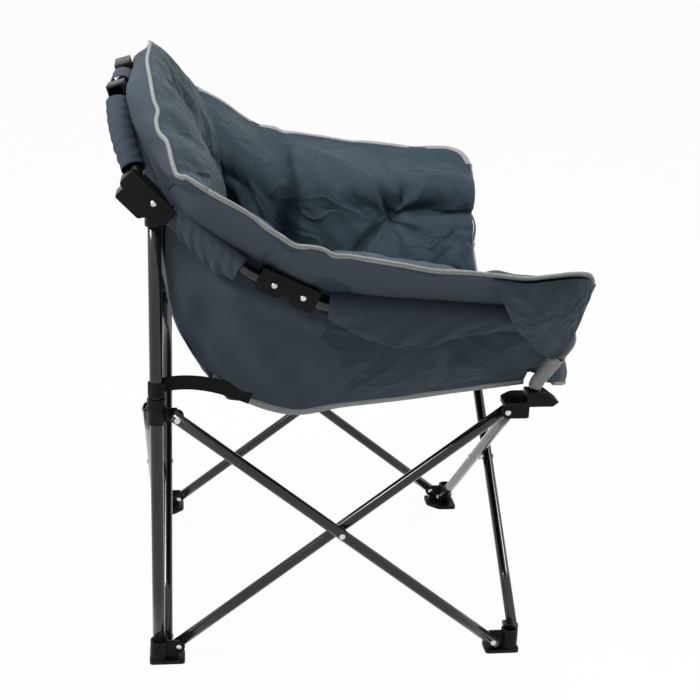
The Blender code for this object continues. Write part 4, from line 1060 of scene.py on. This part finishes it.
def side_cloth(label):
    """Outer cloth of one side, hung from the tub's edge, tucked inside the rail and down to its lower binding."""
    side = SIDES[label]
    upper, inner = [], []
    for y in SIDE_PLACES:
        rail = rail_at(y)
        knuckle = beside_knuckle(y)
        rise = .0215 if y < .05 else .0150
        upper.append((rail.x + .004 - .018 * knuckle, y, rail.z + rise))
        inner.append((rail.x - .0125 - .006 * knuckle, y, rail.z - .006))
    lines = [Line(points) for points in (SIDE_TOP, upper, inner, SIDE_BELLY, SIDE_HEM)]
    last = len(SIDE_PLACES) - 1

    @functools.lru_cache(maxsize=None)
    def column(u):
        return Line([line.by_knot(u * last) for line in lines])

    def shape(u, v):
        point = at_knots(column(round(u, 5)), v)
        free = math.sin(math.pi * min(max((v - .5) / .5, 0), 1))
        fold = math.sin(24 * u + 11 * v) * .5 + math.sin(39 * u - 15 * v + 1.0) * .3 + ripple(3 * u, 2 * v, 4.0)
        point.x += free * .0050 * fold
        over = point.z - float(np.interp(point.y, FOLD_Y, FOLD_Z))
        held = min(max((point.y - FOLD_Y[0]) / .05, 0), 1) * min(max((FOLD_Y[-1] - point.y) / .05, 0), 1)
        point.x += .020 * held * (math.exp(-over / .040) if over > 0 else math.exp(over / .010))
        if u < .06:
            joined = shell_column(1.0).by_knot(float(np.interp(v, ROW_SHARES, (0, 2, 2.6, 3.4, 5))))
            near = u / .06
            point = joined.lerp(point, near * near * (3 - 2 * near))
        return sided(point, side)
    return shape


class CHAIR_OT_side_panels(bpy.types.Operator):
    """Hang the outer cloth of both sides"""

    bl_idname = "chair.side_panels"
    bl_label = "Side panels"

    def execute(self, context):
        for label, side in SIDES.items():
            piece = cloth_sheet("side_cloth_" + label, side_cloth(label), 96, 60, .60, .36, finish("shell_cloth"))
            thicker(piece, sizes().cloth)
            rounder(piece)
            carried(piece, "rear_" + label, "shell_cloth", "side_panel_" + label)
            crumple_side(piece)
        return {"FINISHED"}


@functools.lru_cache(maxsize=None)
def shell_column(reach):
    """The rows of the back's outer cloth at a share of the way from the middle to a wing."""
    wide = reach ** 2
    top = BACK_LINE.at(reach)
    over = Line(BACK_OVER).at(reach)
    shoulder = top.lerp(over, .45)
    shoulder.y += .022 * math.exp(-((reach - .50) / .20) ** 2) - .005 * (1 - wide)
    middle = Vector((0, .275, .640)).lerp(Vector((.268, .2600, .640)), wide)
    middle.x = .268 * reach
    low = Vector((0, .252, .500)).lerp(Vector((.258, .238, .530)), wide)
    low.x = .258 * reach
    hem = Vector((.250 * reach, .216 - .021 * wide, .424 + .029 * wide))
    return Line([top, shoulder, over, middle, low, hem])


def back_cloth(u, v):
    """Outer cloth of the back, drawn from the tub's edge over the rail and down to the seat's rear seam."""
    across = 2 * u - 1
    point = shell_column(round(abs(across), 5)).by_knot(5 * (1 - v))
    free = math.sin(math.pi * min(max((.72 - v) / .72, 0), 1))
    point.y += free * (.0035 * math.sin(22 * u + 6 * v) + .0035 * ripple(4 * u, 3 * v, 2.0))
    return sided(point, 1 if across > 0 else -1)


class CHAIR_OT_back_panel(bpy.types.Operator):
    """Hang the outer cloth of the back"""

    bl_idname = "chair.back_panel"
    bl_label = "Back panel"

    def execute(self, context):
        piece = cloth_sheet("back_cloth", back_cloth, 90, 72, .62, .52, finish("shell_cloth"))
        thicker(piece, sizes().cloth)
        rounder(piece)
        carried(piece, "back_top", "shell_cloth", "back_panel")
        crumple_back(piece)
        return {"FINISHED"}


def sleeve(name, path, wide, rise, drops, material, seed):
    """A loose cloth tunnel round a rail: snug over the top, hanging slack below and uneven along its length."""
    count = len(path) - 1
    sides = 28
    marks = [step / (len(drops) - 1) for step in range(len(drops))]
    length = sum((b - a).length for a, b in zip(path, path[1:]))
    bm = grid(count, sides, length, 2 * (2 * wide + rise + max(drops)))
    for vert in bm.verts:
        index = round((vert.co.x + .5) * count)
        angle = 2 * math.pi * (round((vert.co.y + .5) * sides) % sides) / sides
        run = (path[min(index + 1, count)] - path[max(index - 1, 0)]).normalized()
        up = Vector((0, 0, 1)) - run * run.z
        up.normalize()
        out = run.cross(up)
        share = index / count
        c, s = math.cos(angle), math.sin(angle)
        drop = float(np.interp(share, marks, drops))
        loose = 1 + .06 * ripple(9 * share, 1.6 * s, seed) + .03 * math.sin(46 * share + 2 * angle)
        if s > 0:
            place = out * (c * wide * loose) + up * (s * rise * loose)
        else:
            slim = wide * (1 - .55 * abs(s) ** 1.5)
            crumple = .0035 * math.sin(34 * share + 7 * s + seed) * abs(s) * min(drop / .03, 1)
            place = out * (math.copysign(abs(c) ** .8, c) * slim * loose + crumple) + up * (s * drop * loose)
        vert.co = path[index] + place
    bmesh.ops.remove_doubles(bm, verts=bm.verts, dist=1e-7)
    girth = sum(face.calc_area() for face in bm.faces) / length
    piece = finished(name, bm, material)
    thicker(piece, .0016, 1.0)
    rounder(piece)
    return piece, (round(girth, 4), round(length, 4))


def rail_stretch(path, start, end, count):
    """An even run of a rail's centre line between two places along the chair, from front to rear."""
    inside = [point for point in stretch(path, 0, 1, 400) if start <= point.y - SET_BACK <= end]
    return stretch(inside, 0, 1, count)


class CHAIR_OT_sleeves(bpy.types.Operator):
    """Sleeve the arm rails, the arm posts and the back rail in cloth"""

    bl_idname = "chair.sleeves"
    bl_label = "Sleeves"

    def execute(self, context):
        cloth = finish("shell_cloth")
        for label, side in SIDES.items():
            rear, front = arm_rails(side)
            level = [point for point in front if point.z > .56]
            uprights = [point + Vector((0, .006 * math.sin(math.pi * index / 6), 0))
                        for index, point in enumerate(back_rail(side))]
            runs = (("arm_sleeve_rear_", "arm_rear_tube_", stretch(rear, .16, .74, 40), .0115, .0120,
                     (.016, .024, .028, .032, .022), 1.0),
                    ("arm_sleeve_front_", "arm_front_tube_", rail_stretch(level, -.262, .036, 64), .0125, .0200,
                     (.014, .016, .022, .031, .046, .052, .050, .036, .017), 2.0),
                    ("back_sleeve_", "back_upright_", stretch(uprights, .14, .86, 36), .0165, .0140,
                     (.018, .022, .022, .018), 3.0))
            for kind, body, path, wide, rise, drops, seed in runs:
                piece, cut = sleeve(kind + label, path, wide, rise, drops, cloth, seed + side)
                carried(piece, body + label, "shell_cloth")
            post = [point for point in stretch(front, 0, 1, 160) if .4425 < point.z < .512 and abs(point.x) < .335]
            piece, cut = sleeve("post_sleeve_" + label, post, .0094, .0094, (.0094, .0094), finish("grey_binding"), 6.0)
            carried(piece, "arm_front_tube_" + label, "shell_cloth")
        ends = straight_run("back_top_bar")
        path = [ends[0].lerp(ends[1], .30 + .40 * step / 24) for step in range(25)]
        piece, cut = sleeve("back_bar_sleeve", path, .0150, .0140, (.016, .020, .016), cloth, 5.0)
        carried(piece, "back_top", "shell_cloth")
        return {"FINISHED"}


def corner_pocket(label):
    """The triangular pocket that holds the tub's corner over the bent end of the arm rail."""
    side = SIDES[label]
    hem_line = Line(POCKET_HEM)
    fold_line = Line(POCKET_FOLD)
    start = ARM_LINE.knots[15] - .035

    def shape(u, v):
        hem, turn = hem_line.at(v), fold_line.at(v)
        if u < .8:
            share = u / .8
            point = hem.lerp(turn, share)
            edge = ARM_LINE.at(start + (1 - start) * share) + Vector((.003, 0, -.006))
            point += (edge - hem_line.at(0).lerp(fold_line.at(0), share)) * (1 - v) ** 1.6
            point.x += .008 * math.sin(math.pi * share) * math.sin(math.pi * min(v * 1.1 + .05, 1))
        else:
            share = (u - .8) / .2
            point = turn.lerp(at_knots(arm_column(1.0), 1 - .70 * v), share)
            point.y -= .003 * math.sin(math.pi * share)
        point.x += .0022 * ripple(4 * u, 4 * v, 3.0)
        return sided(point, side)
    return shape


class CHAIR_OT_corner_pockets(bpy.types.Operator):
    """Fold the corner pockets over the arm ends"""

    bl_idname = "chair.corner_pockets"
    bl_label = "Corner pockets"

    def execute(self, context):
        for label in SIDES:
            piece = cloth_sheet("corner_pocket_" + label, corner_pocket(label), 40, 30, .19, .17,
                                finish("slate_cloth"))
            thicker(piece, sizes().cloth)
            rounder(piece)
            carried(piece, "arm_front_tube_" + label, "shell_cloth")
        return {"FINISHED"}


def bound(name, body, count, edge, inside):
    """A grey folded binding along an edge line; a second line says where the cloth lies."""
    shares = [step / count for step in range(count + 1)]
    path = [edge(share) for share in shares]
    inward = [inside(share) - point for share, point in zip(shares, path)]
    deep = sizes().binding_width / 2
    profile = oval(sizes().binding_depth / 2, deep, 12, deep * .55, .7)
    return carried(swept(name, path, inward, profile, finish("grey_binding")), body, "shell_cloth")


class CHAIR_OT_bindings(bpy.types.Operator):
    """Bind the edges of the tub in grey"""

    bl_idname = "chair.bindings"
    bl_label = "Bindings"

    def execute(self, context):
        crumple_back(bound("back_binding", "back_top", 120, lambda share: back_middle(share, 1.0),
                           lambda share: back_middle(share, .93)))
        for label, side in SIDES.items():
            layer, cloth, body = arm_layer(label), side_cloth(label), "rear_" + label
            crumple_side(bound("arm_binding_" + label, body, 120, lambda share: layer(share, 1.0),
                               lambda share: layer(share, .93)))
            crumple_side(bound("arm_front_binding_" + label, body, 40, lambda share: layer(1.0, 1 - share),
                               lambda share: layer(.95, 1 - share)))
            crumple_side(bound("side_hem_binding_" + label, body, 120, lambda share: cloth(share, 1.0),
                               lambda share: cloth(share, .95)))
        crumple_seat(bound("seat_binding", "seat", 60, lambda share: seat_middle(.02 + .96 * share, 0.0),
                           lambda share: seat_middle(.02 + .96 * share, .05)))
        return {"FINISHED"}


class CHAIR_OT_straps(bpy.types.Operator):
    """Tie the webbing straps round the rear legs"""

    bl_idname = "chair.straps"
    bl_label = "Straps"

    def execute(self, context):
        for label, side in SIDES.items():
            path = []
            for step in range(41):
                angle = math.radians(-120 + 320 * step / 40)
                path.append(STRAP_RING + Vector((STRAP_RADIUS * math.cos(angle), STRAP_RADIUS * math.sin(angle), 0)))
            last = path[-1]
            for step in range(1, 21):
                share = step / 20
                point = last.lerp(STRAP_TAIL, share)
                point.z += .013 * math.sin(math.pi * share ** .8)
                point.x += .002 * math.sin(2 * math.pi * share)
                path.append(point)
            path = [sided(point, side) for point in path]
            upright = [Vector((0, 0, 1))] * len(path)
            piece = swept("strap_webbing_" + label, path, upright, oval(*STRAP_HALF, 16, 0.0, .45),
                          finish("black_webbing"))
            carried(piece, "slider_" + label, "webbing", "strap_" + label)
        return {"FINISHED"}


def seen_rays(tree):
    """A mask of the rays that show the background: the camera's own, and those in mirrors and glass."""
    path = tree.nodes.new("ShaderNodeLightPath")
    mirrored = maths(tree, "MAXIMUM", path.outputs["Is Glossy Ray"], path.outputs["Is Transmission Ray"])
    return maths(tree, "MAXIMUM", path.outputs["Is Camera Ray"], mirrored)


def studio_floor():
    """A wide pale floor, nearly white to the camera and in mirrors."""
    bm = bmesh.new()
    bmesh.ops.create_grid(bm, x_segments=2, y_segments=2, size=40)
    floor_paint, tree, shader = new_material("studio_floor")
    settled(shader, Base_Color=(.86, .86, .86, 1), Roughness=.9, Specular_IOR_Level=.1)
    glow = node(tree, "ShaderNodeEmission", Color=(1, 1, 1, 1), Strength=1.0)
    blend = tree.nodes.new("ShaderNodeMixShader")
    tree.links.new(maths(tree, "MULTIPLY", seen_rays(tree), FLOOR_GLOW), blend.inputs[0])
    tree.links.new(shader.outputs[0], blend.inputs[1])
    tree.links.new(glow.outputs[0], blend.inputs[2])
    tree.links.new(blend.outputs[0], tree.nodes["Material Output"].inputs["Surface"])
    finished("studio_ground", bm, floor_paint, False)


def studio_light(scene):
    """Soft fill from a white world, and three lamps."""
    world = bpy.data.worlds.new("studio")
    world.use_nodes = True
    sky = world.node_tree
    sky.nodes["Background"].inputs["Color"].default_value = (1, 1, 1, 1)
    strength = maths(sky, "ADD", maths(sky, "MULTIPLY", seen_rays(sky), 1 - FILL_LIGHT), FILL_LIGHT)
    sky.links.new(strength, sky.nodes["Background"].inputs["Strength"])
    scene.world = world
    for label, (place, target, power) in LAMPS.items():
        light = bpy.data.lights.new("studio_" + label, "AREA")
        light.energy = power
        light.size = LAMP_SIZE
        lamp = bpy.data.objects.new("studio_" + label, light)
        lamp.location = place
        lamp.rotation_euler = (Vector(target) - Vector(place)).to_track_quat("-Z", "Y").to_euler()
        scene.collection.objects.link(lamp)


def photo_camera(scene):
    """A camera at the photograph's place, turned as it was."""
    level = Vector((math.cos(CAMERA_YAW), math.sin(CAMERA_YAW), 0))
    aside = Vector((math.sin(CAMERA_YAW), -math.cos(CAMERA_YAW), 0))
    up = Vector((0, 0, 1))
    ahead = level * math.cos(CAMERA_PITCH) - up * math.sin(CAMERA_PITCH)
    above = level * math.sin(CAMERA_PITCH) + up * math.cos(CAMERA_PITCH)
    right = aside * math.cos(CAMERA_ROLL) + above * math.sin(CAMERA_ROLL)
    top = above * math.cos(CAMERA_ROLL) - aside * math.sin(CAMERA_ROLL)
    turn = Matrix((right, top, -ahead)).transposed().to_4x4()
    lens = bpy.data.cameras.new("photo")
    lens.sensor_width = 36
    lens.lens = CAMERA_LENS
    camera = bpy.data.objects.new("photo", lens)
    camera.matrix_world = Matrix.Translation(CAMERA_PLACE) @ turn
    scene.collection.objects.link(camera)
    scene.camera = camera


class CHAIR_OT_stage(bpy.types.Operator):
    """Set the pale floor, the studio light and the camera"""

    bl_idname = "chair.stage"
    bl_label = "Stage"

    def execute(self, context):
        studio_floor()
        studio_light(context.scene)
        photo_camera(context.scene)
        context.scene.view_settings.view_transform = "Standard"
        return {"FINISHED"}


class CHAIR_PT_sidebar(bpy.types.Panel):
    """Sidebar list of the chair's pieces, sizes and colours"""

    bl_idname = "CHAIR_PT_sidebar"
    bl_label = "Padded Camp Chair"
    bl_space_type = "VIEW_3D"
    bl_region_type = "UI"
    bl_category = "Chair"

    def draw(self, context):
        for maker in PIECES:
            self.layout.operator(maker.bl_idname)
        for values in (context.scene.chair_sizes, context.scene.chair_colours):
            for label in values.__annotations__:
                self.layout.prop(values, label)


PIECES = (CHAIR_OT_stage, CHAIR_OT_tubes, CHAIR_OT_mouldings, CHAIR_OT_rivets, CHAIR_OT_pins, CHAIR_OT_seat_pad,
          CHAIR_OT_back_pad, CHAIR_OT_arm_pads, CHAIR_OT_side_panels, CHAIR_OT_back_panel, CHAIR_OT_sleeves,
          CHAIR_OT_corner_pockets, CHAIR_OT_bindings, CHAIR_OT_straps)
CLASSES = (ChairSizes, ChairColours) + PIECES + (CHAIR_PT_sidebar,)


def register():
    """Add the classes and the scene's own values."""
    for made in CLASSES:
        bpy.utils.register_class(made)
    bpy.types.Scene.chair_sizes = bpy.props.PointerProperty(type=ChairSizes)
    bpy.types.Scene.chair_colours = bpy.props.PointerProperty(type=ChairColours)


def unregister():
    """Take the classes and values away again."""
    del bpy.types.Scene.chair_colours
    del bpy.types.Scene.chair_sizes
    for made in reversed(CLASSES):
        bpy.utils.unregister_class(made)


def main():
    """Make every piece in order."""
    register()
    bpy.ops.chair.stage()
    bpy.ops.chair.tubes()
    bpy.ops.chair.mouldings()
    bpy.ops.chair.rivets()
    bpy.ops.chair.pins()
    bpy.ops.chair.seat_pad()
    bpy.ops.chair.back_pad()
    bpy.ops.chair.arm_pads()
    bpy.ops.chair.side_panels()
    bpy.ops.chair.back_panel()
    bpy.ops.chair.sleeves()
    bpy.ops.chair.corner_pockets()
    bpy.ops.chair.bindings()
    bpy.ops.chair.straps()


if __name__ == "__main__":
    main()
